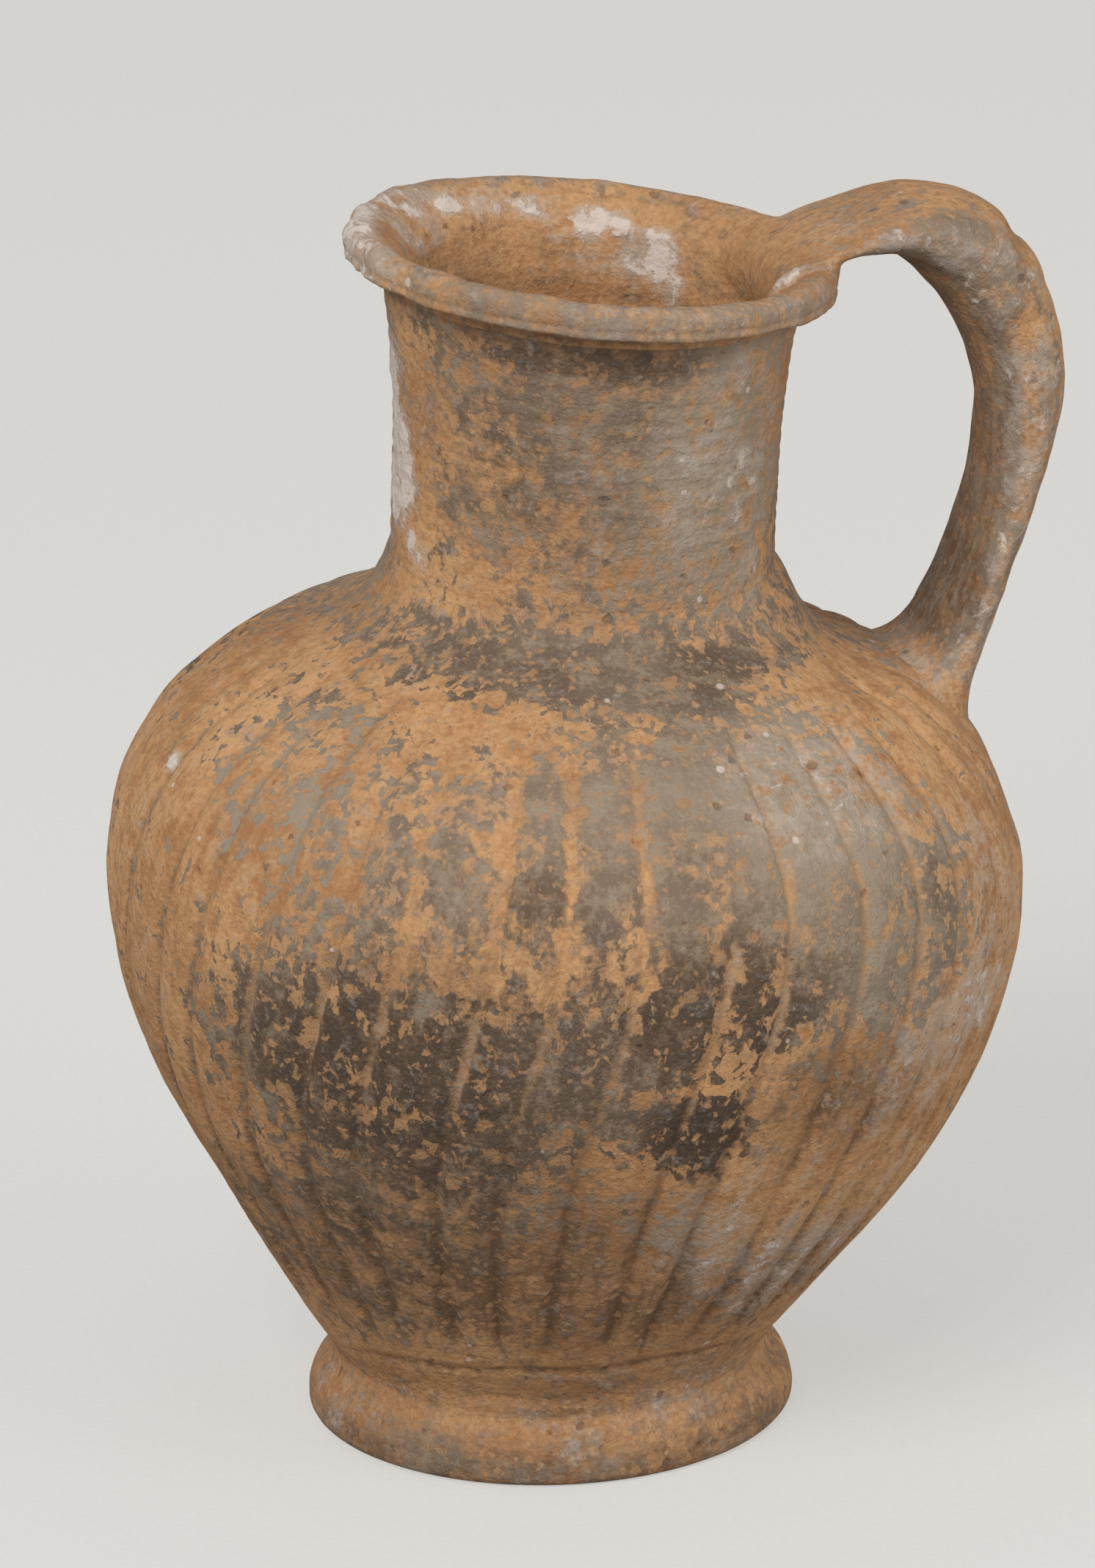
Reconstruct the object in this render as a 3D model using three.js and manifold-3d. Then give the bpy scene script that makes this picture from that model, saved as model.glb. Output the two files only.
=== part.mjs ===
// A wheel-thrown clay jug: fluted belly, round mouth with an everted lip, one strap handle.
// Millimetres, +Z up. The origin is the centre of the foot's flat underside and +X points to the handle.
// The pieces are those that a potter forms apart and lutes together with coils of soft clay before firing.
import * as THREE from "three";
import { mergeVertices } from "three/addons/utils/BufferGeometryUtils.js";
import Module from "manifold-3d";

// Foot: a solid turned disc with a flat underside
const FOOT_RADIUS = 38.3;
const FOOT_HEIGHT = 8;
const FOOT_EDGE = 2.2; // rounding at its lower edge
const FOOT_BROW = 3; // rounding at its upper edge

// Body: thrown in one piece with its own floor
const WAIST_RADIUS = 34.6; // outside of the wall where it rises from the foot
const WAIST_SLOPE = THREE.MathUtils.degToRad(35); // lean of the wall there, from the vertical
const WAIST_RUN = 23.4; // how far the wall keeps that lean
const BELLY_RADIUS = 71.4;
const BELLY_HEIGHT = 76; // from the waist up to the widest place
const BELLY_RUN_BELOW = 30; // how far the wall stays upright below the belly
const BELLY_RUN_ABOVE = 24; // and above it
const SHOULDER_HEIGHT = 44.5; // from the belly up to the neck's seat
const SHOULDER_SLOPE = THREE.MathUtils.degToRad(28); // fall of the shoulder at the neck, from level
const SHOULDER_RUN = 24.2; // how far the shoulder keeps that fall
const WALL = 4.5;
const FLOOR = 5.5;
const FLOOR_CORNER = 7; // rise in which the floor turns up into the wall

// Flutes: blunt grooves drawn down the wall, with slightly swollen panels between them
const FLUTE_COUNT = 36;
const FLUTE_WIDTH = 2.4;
const FLUTE_DEPTH = 0.9;
const PANEL_SWELL = 0.35; // rise of a panel's middle over its edges
const FLUTE_TOP_GAP = 5; // plain wall left below the neck's seat
const FLUTE_BOTTOM_GAP = 8; // plain wall left above the waist
const FLUTE_RUN_OUT = 8; // height in which a groove fades at either end
const FLUTE_START = THREE.MathUtils.degToRad(5); // from +X to the upper end of the first groove
const FLUTE_TURN = THREE.MathUtils.degToRad(13); // turn of each groove from its lower to its upper end
const FLUTE_TURN_LOW = 26; // height above the waist where the grooves begin to turn
const FLUTE_TURN_HIGH = 24; // height above the belly where they stop turning
const FLUTE_STRAY = THREE.MathUtils.degToRad(1.2); // how far the hand strayed from even spacing
const FLUTE_STRAY_STEP = 2.4; // of the stray's wave, from groove to groove, in radians
const SHORT_FLUTE = 27; // the one groove that starts lower than the others
const SHORT_FLUTE_DROP = 25; // of its upper end, from the ends of the others

// Neck: thrown apart, standing on the shoulder
const NECK_HEIGHT = 48.2;
const NECK_BASE_RADIUS = 29.8; // outside, where it stands on the shoulder
const NECK_WAIST_RADIUS = 29.2;
const NECK_TOP_RADIUS = 32;
const NECK_LOWER_PULL = 18; // how far its foot and its top run on towards the waist
const NECK_UPPER_PULL = 14;
const NECK_WALL = 4.3;
const NECK_SEAT_MARGIN = 3.2; // flat of the shoulder left outside the neck

// Lip: an everted coil turned on to the top of the neck
const LIP_RADIUS = 37.4;
const LIP_HEIGHT = 7.4;
const LIP_EDGE = 2.6; // rounding of its edges
const LIP_DISH = 3.4; // fall of its upper face towards the mouth
const MOUTH_RADIUS = 28; // clear opening inside the lip

// Luting coils pressed into the angles of the joints
const FOOT_COIL_HEIGHT = 4;
const FOOT_COIL_WIDTH = 4;
const FOOT_COIL_HOLLOW = 0.8; // depth of its hollow face
const NECK_COIL_HEIGHT = 6;
const NECK_COIL_REACH = 4; // how far it spreads down the shoulder
const COIL_FEATHER = 0.7; // thickness left at a smoothed edge
const ROOT_COIL_HEIGHT = 8; // how far it climbs up the handle
const ROOT_COIL_SPREAD = 4;

// Handle: a pulled strap, lapped over the lip into the mouth and pressed on to the shoulder
const STRAP_WIDTH = 21;
const STRAP_THICKNESS = 14.5; // at the bow
const ARCH_THICKNESS = 8.4; // from the lip to the top of the arch
const LAP_WIDTH = 27; // width over the lip
const LAP_RISE = 3.6; // clay on top of the lip
const LAP_DEPTH = 7.5; // how far the lap reaches down inside the mouth
const LAP_INSET = 4.4; // how far it stands into the mouth
const LAP_REACH = 3; // how far it runs out along the strap
const ROOT_WIDTH = 24;
const ROOT_THICKNESS = 9.6;
const ROOT_DROP = 16.8; // height of the lower end below the neck's seat
const ROOT_SLOPE = THREE.MathUtils.degToRad(28); // lean of the strap there, from the vertical
const ROOT_PULL = 20; // how far the strap keeps that lean
const ARCH_RUN = 12.4; // from the lip's edge out to the top of the arch
const ARCH_RISE = 2.8; // from the lip's crest up to the middle of the strap
const ARCH_PULL = 11;
const BOW_RUN = 31.5; // from the lip's edge out to the far side of the bow
const BOW_DROP = 25; // from the lip's crest down to that far side
const BOW_PULL_ABOVE = 15;
const BOW_PULL_BELOW = 14;

// Settling of the soft clay: each part has slid a little towards the handle and the mouth tips with it
const BODY_SHIFT = 4.2; // of the belly, from the foot's centre
const NECK_SHIFT = 3.6; // of the neck, from the belly's centre
const NECK_LEAN = 3; // of the mouth, from the neck's foot
const MOUTH_TIP = THREE.MathUtils.degToRad(6.85); // slope of the mouth
const MOUTH_TIP_TURN = THREE.MathUtils.degToRad(-11); // from +X to where the mouth is lowest

const JOINT_GAP = 0.3; // slip joint between two pieces

// Facets
const RING_STEPS = 48;
const CAVITY_STEPS = 36;
const STEPS_PER_FLUTE = 4;
const LOWER_WALL_STEPS = 10;
const UPPER_WALL_STEPS = 10;
const NECK_STEPS = 5;
const ROUND_STEPS = 3;
const STRAP_SIDES = 16;
const STRAP_STEPS = 24;
const COIL_STEPS = 5;
const LAP_SIDES = 20;
const LAP_RINGS = 10;

// Levels of the joints in the upright form, from the ground up
const bodyBase = FOOT_HEIGHT + JOINT_GAP;
const waist = bodyBase + FOOT_COIL_HEIGHT;
const belly = waist + BELLY_HEIGHT;
const neckSeat = belly + SHOULDER_HEIGHT;
const neckBase = neckSeat + JOINT_GAP;
const lipSeat = neckBase + NECK_HEIGHT;
const lipBase = lipSeat + JOINT_GAP;
const mouth = lipBase + LIP_HEIGHT;

const wasm = await Module();
wasm.setup();

// Where a point of the upright form lies in the settled jug
function settle(x, y, z) {
  const { clamp, smoothstep } = THREE.MathUtils;
  const height = clamp((z - bodyBase) / (mouth - bodyBase), 0, 1);
  const shift =
    BODY_SHIFT * smoothstep(z, bodyBase, (waist + belly) / 2) +
    NECK_SHIFT * smoothstep(z, (belly + neckSeat) / 2, neckBase + NECK_COIL_HEIGHT) +
    NECK_LEAN * clamp((z - neckSeat) / (mouth - neckSeat), 0, 1);
  const towardsLow = x * Math.cos(MOUTH_TIP_TURN) + y * Math.sin(MOUTH_TIP_TURN);
  return new THREE.Vector3(x + shift, y, z - Math.tan(MOUTH_TIP) * height * height * towardsLow);
}

// Moves every vertex of a geometry to where the function places it
function reshaped(geometry, place) {
  const position = geometry.attributes.position;
  const v = new THREE.Vector3();
  for (let i = 0; i < position.count; i++) {
    const moved = place(v.fromBufferAttribute(position, i));
    position.setXYZ(i, moved.x, moved.y, moved.z);
  }
  return geometry;
}

const settled = (geometry) => reshaped(geometry, (v) => settle(v.x, v.y, v.z));

// A closed geometry as a solid that can be cut and joined, and back again
function solidOf(geometry) {
  const bare = geometry.clone();
  bare.deleteAttribute("normal");
  bare.deleteAttribute("uv");
  const merged = mergeVertices(bare);
  const corners = merged.index.array;
  const triangles = [];
  for (let i = 0; i < corners.length; i += 3) {
    const [a, b, c] = corners.slice(i, i + 3);
    if (a !== b && b !== c && c !== a) triangles.push(a, b, c);
  }
  const vertProperties = new Float32Array(merged.attributes.position.array);
  const triVerts = new Uint32Array(triangles);
  return new wasm.Manifold(new wasm.Mesh({ numProp: 3, vertProperties, triVerts }));
}

function geometryOf(solid) {
  const { vertProperties, triVerts } = solid.getMesh();
  const geometry = new THREE.BufferGeometry();
  geometry.setAttribute("position", new THREE.BufferAttribute(vertProperties, 3));
  geometry.setIndex(new THREE.BufferAttribute(triVerts, 1));
  geometry.computeVertexNormals();
  return geometry;
}

// Sections lie in the plane of radius and height, and run round with the clay on their left
const at = (radius, height) => new THREE.Vector2(radius, height);

// Points of a curve without its first one, which the section already has
const along = (curve, steps) => curve.getPoints(steps).slice(1);
const rounded = (from, corner, to) => along(new THREE.QuadraticBezierCurve(from, corner, to), ROUND_STEPS);

// A section with all its sides moved out by a distance
function grown(section, distance) {
  const count = section.length;
  return section.map((point, i) => {
    const before = point.clone().sub(section.at(i - 1)).normalize();
    const after = section[(i + 1) % count].clone().sub(point).normalize();
    const out = at(before.y + after.y, -before.x - after.x).divideScalar(1 + before.dot(after));
    const moved = point.clone().addScaledVector(out, distance);
    return at(Math.max(moved.x, 0), moved.y);
  });
}

// A section turned about +Z: a ring, or a full round where the section starts and ends on the axis
function turned(section, steps = RING_STEPS) {
  const isRing = section.every((point) => point.x > 0);
  const profile = isRing ? [...section, section[0]] : section;
  return new THREE.LatheGeometry(profile, steps).rotateX(Math.PI / 2);
}

// Foot

const footBrow = FOOT_RADIUS - FOOT_BROW;

function footSection() {
  const heel = FOOT_RADIUS - FOOT_EDGE;
  const side = FOOT_HEIGHT - FOOT_BROW;
  return [
    at(0, 0),
    at(heel, 0),
    ...rounded(at(heel, 0), at(FOOT_RADIUS, 0), at(FOOT_RADIUS, FOOT_EDGE)),
    at(FOOT_RADIUS, side),
    ...rounded(at(FOOT_RADIUS, side), at(FOOT_RADIUS, FOOT_HEIGHT), at(footBrow, FOOT_HEIGHT)),
    at(0, FOOT_HEIGHT),
  ];
}

// The coil fills the rebate under the body's wall and is smoothed to a hollow
const stubRadius = WAIST_RADIUS - FOOT_COIL_WIDTH;

function footCoilSection() {
  const inside = stubRadius + JOINT_GAP;
  const top = waist - JOINT_GAP;
  const toe = at(footBrow, bodyBase + COIL_FEATHER);
  const heel = at(WAIST_RADIUS, top);
  const hollow = at((toe.x + heel.x) / 2 - FOOT_COIL_HOLLOW, (toe.y + heel.y) / 2);
  return [at(inside, bodyBase), at(footBrow, bodyBase), toe, ...rounded(toe, hollow, heel), at(inside, top)];
}

// Body

const neckBore = NECK_BASE_RADIUS - NECK_WALL;
const seatRadius = NECK_BASE_RADIUS + NECK_SEAT_MARGIN;

const lowerWall = new THREE.CubicBezierCurve(
  at(WAIST_RADIUS, waist),
  at(WAIST_RADIUS, waist).add(at(Math.sin(WAIST_SLOPE), Math.cos(WAIST_SLOPE)).setLength(WAIST_RUN)),
  at(BELLY_RADIUS, belly - BELLY_RUN_BELOW),
  at(BELLY_RADIUS, belly),
);
const upperWall = new THREE.CubicBezierCurve(
  at(BELLY_RADIUS, belly),
  at(BELLY_RADIUS, belly + BELLY_RUN_ABOVE),
  at(seatRadius, neckSeat).add(
    at(Math.cos(SHOULDER_SLOPE), -Math.sin(SHOULDER_SLOPE)).setLength(SHOULDER_RUN),
  ),
  at(seatRadius, neckSeat),
);

const wall = [...lowerWall.getPoints(LOWER_WALL_STEPS), ...along(upperWall, UPPER_WALL_STEPS)];

const bodySection = [
  at(0, bodyBase),
  at(stubRadius, bodyBase),
  at(stubRadius, waist),
  ...wall,
  at(0, neckSeat),
];

// The hollow inside: a floor that turns up into the wall, and the bore under the neck
function cavitySection() {
  const floor = bodyBase + FLOOR;
  const face = grown(bodySection, -WALL).filter((p, i) => {
    const isWall = wall.includes(bodySection[i]);
    return isWall && p.y > floor + FLOOR_CORNER && p.x > neckBore;
  });
  const first = face[0];
  const corner = at(first.x - (first.y - floor) * Math.tan(WAIST_SLOPE), floor);
  const flat = at(corner.x - FLOOR_CORNER, floor);
  return [
    at(0, floor),
    flat,
    ...rounded(flat, corner, first),
    ...face.slice(1),
    at(neckBore, neckSeat - WALL / 2),
    at(neckBore, neckSeat + JOINT_GAP),
    at(0, neckSeat + JOINT_GAP),
  ];
}

// Draws the grooves into the turned wall and turns them a little from bottom to top
const fluteBottom = waist + FLUTE_BOTTOM_GAP;
const fluteTop = neckSeat - FLUTE_TOP_GAP;
const flutePitch = (2 * Math.PI) / FLUTE_COUNT;

const fluteNumber = (count) => (count + FLUTE_COUNT) % FLUTE_COUNT;

// The angle of a groove at a height
function fluteAngle(count, height) {
  const turned = THREE.MathUtils.smoothstep(height, waist + FLUTE_TURN_LOW, belly + FLUTE_TURN_HIGH);
  const stray = FLUTE_STRAY * Math.sin(fluteNumber(count) * FLUTE_STRAY_STEP);
  return FLUTE_START + count * flutePitch + stray + FLUTE_TURN * (turned - 1);
}

// How much of a groove's depth is left at a height
function fluteFade(count, height) {
  const { smoothstep } = THREE.MathUtils;
  const top = fluteNumber(count) === SHORT_FLUTE ? fluteTop - SHORT_FLUTE_DROP : fluteTop;
  return (
    smoothstep(height, fluteBottom, fluteBottom + FLUTE_RUN_OUT) *
    (1 - smoothstep(height, top - FLUTE_RUN_OUT, top))
  );
}

// Each flute has four points: its groove, the groove's edge, the panel's middle and the next groove's edge
function fluted(v) {
  const radius = Math.hypot(v.x, v.y);
  if (radius === 0) return v;
  const angle = Math.atan2(v.y, v.x);
  const flute = Math.floor(angle / flutePitch + 0.5 / STEPS_PER_FLUTE);
  const step = Math.round((angle / flutePitch - flute) * STEPS_PER_FLUTE);
  const here = fluteAngle(flute, v.z);
  const next = fluteAngle(flute + 1, v.z);
  const edge = Math.min(FLUTE_WIDTH / (2 * radius), flutePitch / STEPS_PER_FLUTE);
  const place = [here, here + edge, (here + next) / 2, next - edge][step];
  const nearest = step < 2 ? flute : flute + 1;
  const depth = [FLUTE_DEPTH, PANEL_SWELL, 0, PANEL_SWELL][step] * fluteFade(nearest, v.z);
  return new THREE.Vector3(Math.cos(place), Math.sin(place), 0).multiplyScalar(radius - depth).setZ(v.z);
}

function bodyGeometry() {
  const outside = reshaped(turned(bodySection, FLUTE_COUNT * STEPS_PER_FLUTE), fluted);
  const cavity = turned(cavitySection(), CAVITY_STEPS);
  return geometryOf(solidOf(settled(outside)).subtract(solidOf(settled(cavity))));
}

// Neck and its coil

const neckWall = new THREE.CubicBezierCurve(
  at(NECK_BASE_RADIUS, neckBase),
  at(NECK_WAIST_RADIUS, neckBase + NECK_LOWER_PULL),
  at(NECK_WAIST_RADIUS, lipSeat - NECK_UPPER_PULL),
  at(NECK_TOP_RADIUS, lipSeat),
).getPoints(NECK_STEPS);
const neckSection = [...neckWall, ...neckWall.map((p) => at(p.x - NECK_WALL, p.y)).reverse()];

// Where the neck's outside reaches a given height
function neckAt(height) {
  const above = neckWall.findIndex((p) => p.y >= height);
  const [from, to] = neckWall.slice(above - 1, above + 1);
  return from.clone().lerp(to, (height - from.y) / (to.y - from.y));
}

function neckCoilSection() {
  const top = neckBase + NECK_COIL_HEIGHT;
  const behind = [...neckWall.filter((p) => p.y < top), neckAt(top)].map((p) => at(p.x + JOINT_GAP, p.y));
  const over = at(Math.sin(SHOULDER_SLOPE), Math.cos(SHOULDER_SLOPE));
  const reachShare = NECK_COIL_REACH / (3 * SHOULDER_RUN); // a curve leaves its end at 3 times the pull
  const underside = [0, 0.5, 1].map((share) =>
    upperWall.getPoint(1 - share * reachShare).addScaledVector(over, JOINT_GAP),
  );
  const toe = underside.at(-1).clone().addScaledVector(over, COIL_FEATHER);
  const brow = at(behind.at(-1).x + COIL_FEATHER, top);
  const corner = at(brow.x, toe.y + (toe.x - brow.x) * Math.tan(SHOULDER_SLOPE));
  return [behind[0], ...underside, toe, ...rounded(toe, corner, brow), ...behind.slice(1).reverse()];
}

// Lip

const lipCrest = LIP_RADIUS - LIP_EDGE; // radius of its highest ring

function lipSection() {
  const inside = NECK_TOP_RADIUS - NECK_WALL;
  const edgeFoot = mouth - 2 * LIP_EDGE;
  const edgeMiddle = mouth - LIP_EDGE;
  const brim = mouth - LIP_DISH;
  const inner = at(MOUTH_RADIUS + LIP_EDGE, brim);
  return [
    at(inside, lipBase),
    at(NECK_TOP_RADIUS, lipBase),
    ...rounded(at(NECK_TOP_RADIUS, lipBase), at(NECK_TOP_RADIUS, edgeFoot), at(lipCrest, edgeFoot)),
    ...rounded(at(lipCrest, edgeFoot), at(LIP_RADIUS, edgeFoot), at(LIP_RADIUS, edgeMiddle)),
    ...rounded(at(LIP_RADIUS, edgeMiddle), at(LIP_RADIUS, mouth), at(lipCrest, mouth)),
    inner,
    ...rounded(inner, at(MOUTH_RADIUS, brim), at(MOUTH_RADIUS, brim - LIP_EDGE)),
  ];
}

// Handle

// Where the wall's outside reaches a given height of the shoulder, found by halving
const HALVINGS = 30;

function shoulderAt(height) {
  let [low, high] = [0, 1];
  for (let i = 0; i < HALVINGS; i++) {
    const middle = (low + high) / 2;
    if (upperWall.getPoint(middle).y < height) low = middle;
    else high = middle;
  }
  return upperWall.getPoint(low);
}

const rootOnWall = shoulderAt(neckSeat - ROOT_DROP);
const root = settle(rootOnWall.x, 0, rootOnWall.y);
const crest = settle(lipCrest, 0, mouth);
const lipEdge = settle(LIP_RADIUS, 0, mouth - LIP_EDGE);

// The strap's middle line, in the plane of the handle, from the lip to just inside the shoulder
function strapLine() {
  const place = (x, z) => new THREE.Vector3(x, 0, z);
  const start = place(crest.x - LIP_EDGE, crest.z);
  const arch = place(lipEdge.x + ARCH_RUN, crest.z + ARCH_RISE);
  const bow = place(lipEdge.x + BOW_RUN, crest.z - BOW_DROP);
  const lean = place(Math.sin(ROOT_SLOPE), Math.cos(ROOT_SLOPE));
  const end = root.clone().addScaledVector(lean, -STRAP_THICKNESS);
  const line = new THREE.CurvePath();
  line.add(new THREE.QuadraticBezierCurve3(start, place(arch.x - ARCH_RUN / 2, arch.z), arch));
  line.add(new THREE.CubicBezierCurve3(
    arch,
    place(arch.x + ARCH_PULL, arch.z),
    place(bow.x, bow.z + BOW_PULL_ABOVE),
    bow,
  ));
  line.add(new THREE.CubicBezierCurve3(
    bow,
    place(bow.x, bow.z - BOW_PULL_BELOW),
    root.clone().addScaledVector(lean, ROOT_PULL),
    root,
  ));
  line.add(new THREE.LineCurve3(root, end));
  return line;
}

const strap = strapLine();
const strapLength = strap.getLength();
const [toArch, toBow, toRoot] = strap.getCurveLengths();

// Full width and thickness of the strap at a distance along its middle line
function strapSize(distance) {
  const { smoothstep, lerp } = THREE.MathUtils;
  const narrowing = smoothstep(distance, 0, toBow);
  const flare = smoothstep(distance, toBow, toRoot);
  const width = lerp(lerp(LAP_WIDTH, STRAP_WIDTH, narrowing), ROOT_WIDTH, flare);
  const swelling = smoothstep(distance, toArch, (toArch + toBow) / 2);
  const thickness = lerp(lerp(ARCH_THICKNESS, STRAP_THICKNESS, swelling), ROOT_THICKNESS, flare);
  return { width, thickness };
}

// An oval clay bar along a stretch of the strap's line, thicker than the strap by a margin on every side
function bar(from, to, steps, marginAt) {
  const rod = new THREE.CylinderGeometry(1, 1, 1, STRAP_SIDES, steps);
  return reshaped(rod, (v) => {
    const share = v.y + 0.5;
    const distance = THREE.MathUtils.lerp(from, to, share);
    const middle = strap.getPointAt(distance / strapLength);
    const ahead = strap.getTangentAt(distance / strapLength);
    const { width, thickness } = strapSize(distance);
    const margin = marginAt(share);
    const out = (thickness / 2 + margin) * v.x;
    const side = (width / 2 + margin) * v.z;
    return new THREE.Vector3(middle.x - ahead.z * out, side, middle.z + ahead.x * out);
  });
}

// The lap: the strap's end thumbed out over the lip, standing a little into the mouth
function lapGeometry() {
  const inner = MOUTH_RADIUS - LAP_INSET;
  const outer = LIP_RADIUS + LAP_REACH;
  const wad = new THREE.SphereGeometry(1, LAP_SIDES, LAP_RINGS)
    .scale((outer - inner) / 2, LAP_WIDTH / 2, (LAP_DEPTH + LAP_RISE) / 2)
    .translate((outer + inner) / 2, 0, mouth + (LAP_RISE - LAP_DEPTH) / 2);
  return settled(wad);
}

// What the handle's clay keeps clear of: its neighbours, each larger by the joint's gap
const clearOf = (section) => solidOf(settled(turned(grown(section, JOINT_GAP))));

function handleGeometry() {
  let solid = solidOf(bar(0, strapLength, STRAP_STEPS, () => 0)).add(solidOf(lapGeometry()));
  for (const section of [lipSection(), neckSection, bodySection]) {
    solid = solid.subtract(clearOf(section));
  }
  return geometryOf(solid);
}

// The coil round the handle's lower end: thick on the shoulder and feathered out up the strap
function handleCoilGeometry() {
  const { lerp } = THREE.MathUtils;
  const collar = bar(toRoot - ROOT_COIL_HEIGHT, strapLength, COIL_STEPS, (share) =>
    lerp(COIL_FEATHER, ROOT_COIL_SPREAD, share),
  );
  const strapClearance = bar(toBow, strapLength, STRAP_STEPS, () => JOINT_GAP);
  return geometryOf(solidOf(collar).subtract(solidOf(strapClearance)).subtract(clearOf(bodySection)));
}

// The jug, each piece with the colour of its weathered surface

const BARE_CLAY = 0xb98352;
const WORN_SLIP = 0x7d6248;
const DARK_SLIP = 0x5a4a3a;
const GREY_CLAY = 0x97826a;

const jug = new THREE.Group();

function addPiece(name, geometry, color, roughness) {
  const material = new THREE.MeshStandardMaterial({ color, roughness, metalness: 0 });
  const mesh = new THREE.Mesh(geometry, material);
  mesh.name = name;
  jug.add(mesh);
}

addPiece("foot", settled(turned(footSection())), BARE_CLAY, 0.85);
addPiece("foot_coil", settled(turned(footCoilSection())), WORN_SLIP, 0.9);
addPiece("body", bodyGeometry(), DARK_SLIP, 0.7);
addPiece("neck_coil", settled(turned(neckCoilSection())), WORN_SLIP, 0.8);
addPiece("neck", settled(turned(neckSection)), WORN_SLIP, 0.75);
addPiece("lip", settled(turned(lipSection())), GREY_CLAY, 0.8);
addPiece("handle", handleGeometry(), BARE_CLAY, 0.85);
addPiece("handle_coil", handleCoilGeometry(), GREY_CLAY, 0.9);

export default jug;
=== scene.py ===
"""A fluted clay jug, dressed piece by piece from the foot up to the handle."""

import math

import bpy
import numpy as np
from mathutils import Matrix, Vector, noise


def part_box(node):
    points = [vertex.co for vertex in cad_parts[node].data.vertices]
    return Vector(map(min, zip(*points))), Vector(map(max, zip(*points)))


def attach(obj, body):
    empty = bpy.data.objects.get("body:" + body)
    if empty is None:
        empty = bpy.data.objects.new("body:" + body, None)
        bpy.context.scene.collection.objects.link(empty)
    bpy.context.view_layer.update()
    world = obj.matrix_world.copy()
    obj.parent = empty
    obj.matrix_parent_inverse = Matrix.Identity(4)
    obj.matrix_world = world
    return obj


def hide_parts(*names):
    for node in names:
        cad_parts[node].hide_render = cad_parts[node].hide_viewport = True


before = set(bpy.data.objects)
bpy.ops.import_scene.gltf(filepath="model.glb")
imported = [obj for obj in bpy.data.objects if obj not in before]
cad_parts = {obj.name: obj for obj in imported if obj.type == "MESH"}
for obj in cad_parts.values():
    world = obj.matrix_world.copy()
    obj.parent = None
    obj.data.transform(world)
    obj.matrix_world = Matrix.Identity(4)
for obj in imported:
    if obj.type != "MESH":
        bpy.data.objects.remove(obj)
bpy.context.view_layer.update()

# Foot
# A solid disc of coarse orange clay, thrown on the wheel and cut off it with a twisted string.
# Its brow is rounded with the thumb. Soot and slip that ran down have darkened the front of its side.

MM = 0.001
foot_low, foot_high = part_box("foot")
FOOT_RADIUS = (foot_high[0] - foot_low[0]) / 2 / MM
FOOT_TOP = (35.3, 8.3)  # radius and height of the joint with the coil
STRING_PITCH = 2.6
STRING_DEPTH = 0.14
STRING_CENTRE = (-21.0, 9.0)

# The clay has settled while it was soft: each part slid towards the handle, and the mouth tips with it
BODY_BASE = 8.3
MOUTH = 189.0
BODY_SHIFT = 4.2
BODY_SHIFT_TOP = 50.3
NECK_SHIFT = 3.6
NECK_SHIFT_LOW, NECK_SHIFT_TOP = 110.5, 139.1
NECK_LEAN = 3.0
NECK_SEAT = 132.8
MOUTH_TIP = math.tan(math.radians(6.85))
MOUTH_TIP_TURN = math.radians(-11)

# The side that faces the camera, as an angle about +Z, in degrees
CAMERA_SIDE = -106.0


def ease(value, start, end):
    """Goes smoothly from 0 at start to 1 at end."""
    share = np.clip((value - start) / (end - start), 0, 1)
    return share * share * (3 - 2 * share)


def slide(height):
    """How far the clay at a height has slid towards the handle."""
    shift = BODY_SHIFT * ease(height, BODY_BASE, BODY_SHIFT_TOP)
    shift = shift + NECK_SHIFT * ease(height, NECK_SHIFT_LOW, NECK_SHIFT_TOP)
    return shift + NECK_LEAN * np.clip((height - NECK_SEAT) / (MOUTH - NECK_SEAT), 0, 1)


def sag(x, y, height):
    """How far the clay at a place of the upright form has sunk as the mouth tipped."""
    rise = np.clip((height - BODY_BASE) / (MOUTH - BODY_BASE), 0, 1)
    return MOUTH_TIP * rise * rise * (x * math.cos(MOUTH_TIP_TURN) + y * math.sin(MOUTH_TIP_TURN))


def settle(points):
    """Where points of the upright form lie in the settled jug."""
    x, y, z = np.moveaxis(np.asarray(points, float), -1, 0)
    return np.stack([x + slide(z), y, z - sag(x, y, z)], axis=-1)


def swell(points, size, seed=0.0):
    """Smooth random lumps between -1 and 1, about size millimetres apart."""
    places = (np.asarray(points).reshape(-1, 3) / size + seed).tolist()
    return np.array([noise.noise(place) for place in places]).reshape(np.shape(points)[:-1])


def hand_relief(points):
    """The unevenness that hands leave in clay, the same on both sides of every joint."""
    return 0.28 * swell(points, 26) + 0.16 * swell(points, 8, 4) + 0.06 * swell(points, 2.6, 9)


def bezier(*controls, steps=40):
    """Points of a Bezier curve in the plane of radius and height."""
    t = np.linspace(0, 1, steps + 1)[:, None]
    layer = [np.array(c, float) + 0 * t for c in controls]
    while len(layer) > 1:
        layer = [a + (b - a) * t for a, b in zip(layer, layer[1:])]
    return layer[0]


def chain(*stretches):
    """Stretches of an outline, each a list of points, set end to end."""
    joined = np.vstack([np.atleast_2d(np.array(s, float)) for s in stretches])
    apart = np.linalg.norm(np.diff(joined, axis=0), axis=1) > 1e-6
    return joined[np.concatenate([[True], apart])]


def lengths(points):
    """How far along a line each of its points lies."""
    return np.concatenate([[0], np.cumsum(np.linalg.norm(np.diff(points, axis=0), axis=1))])


def even(points, step):
    """The same line with its points about one step apart."""
    points = np.asarray(points, float)
    run = lengths(points)
    places = np.linspace(0, run[-1], max(2, int(round(run[-1] / step)) + 1))
    return np.stack([np.interp(places, run, column) for column in points.T], axis=-1)


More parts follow.
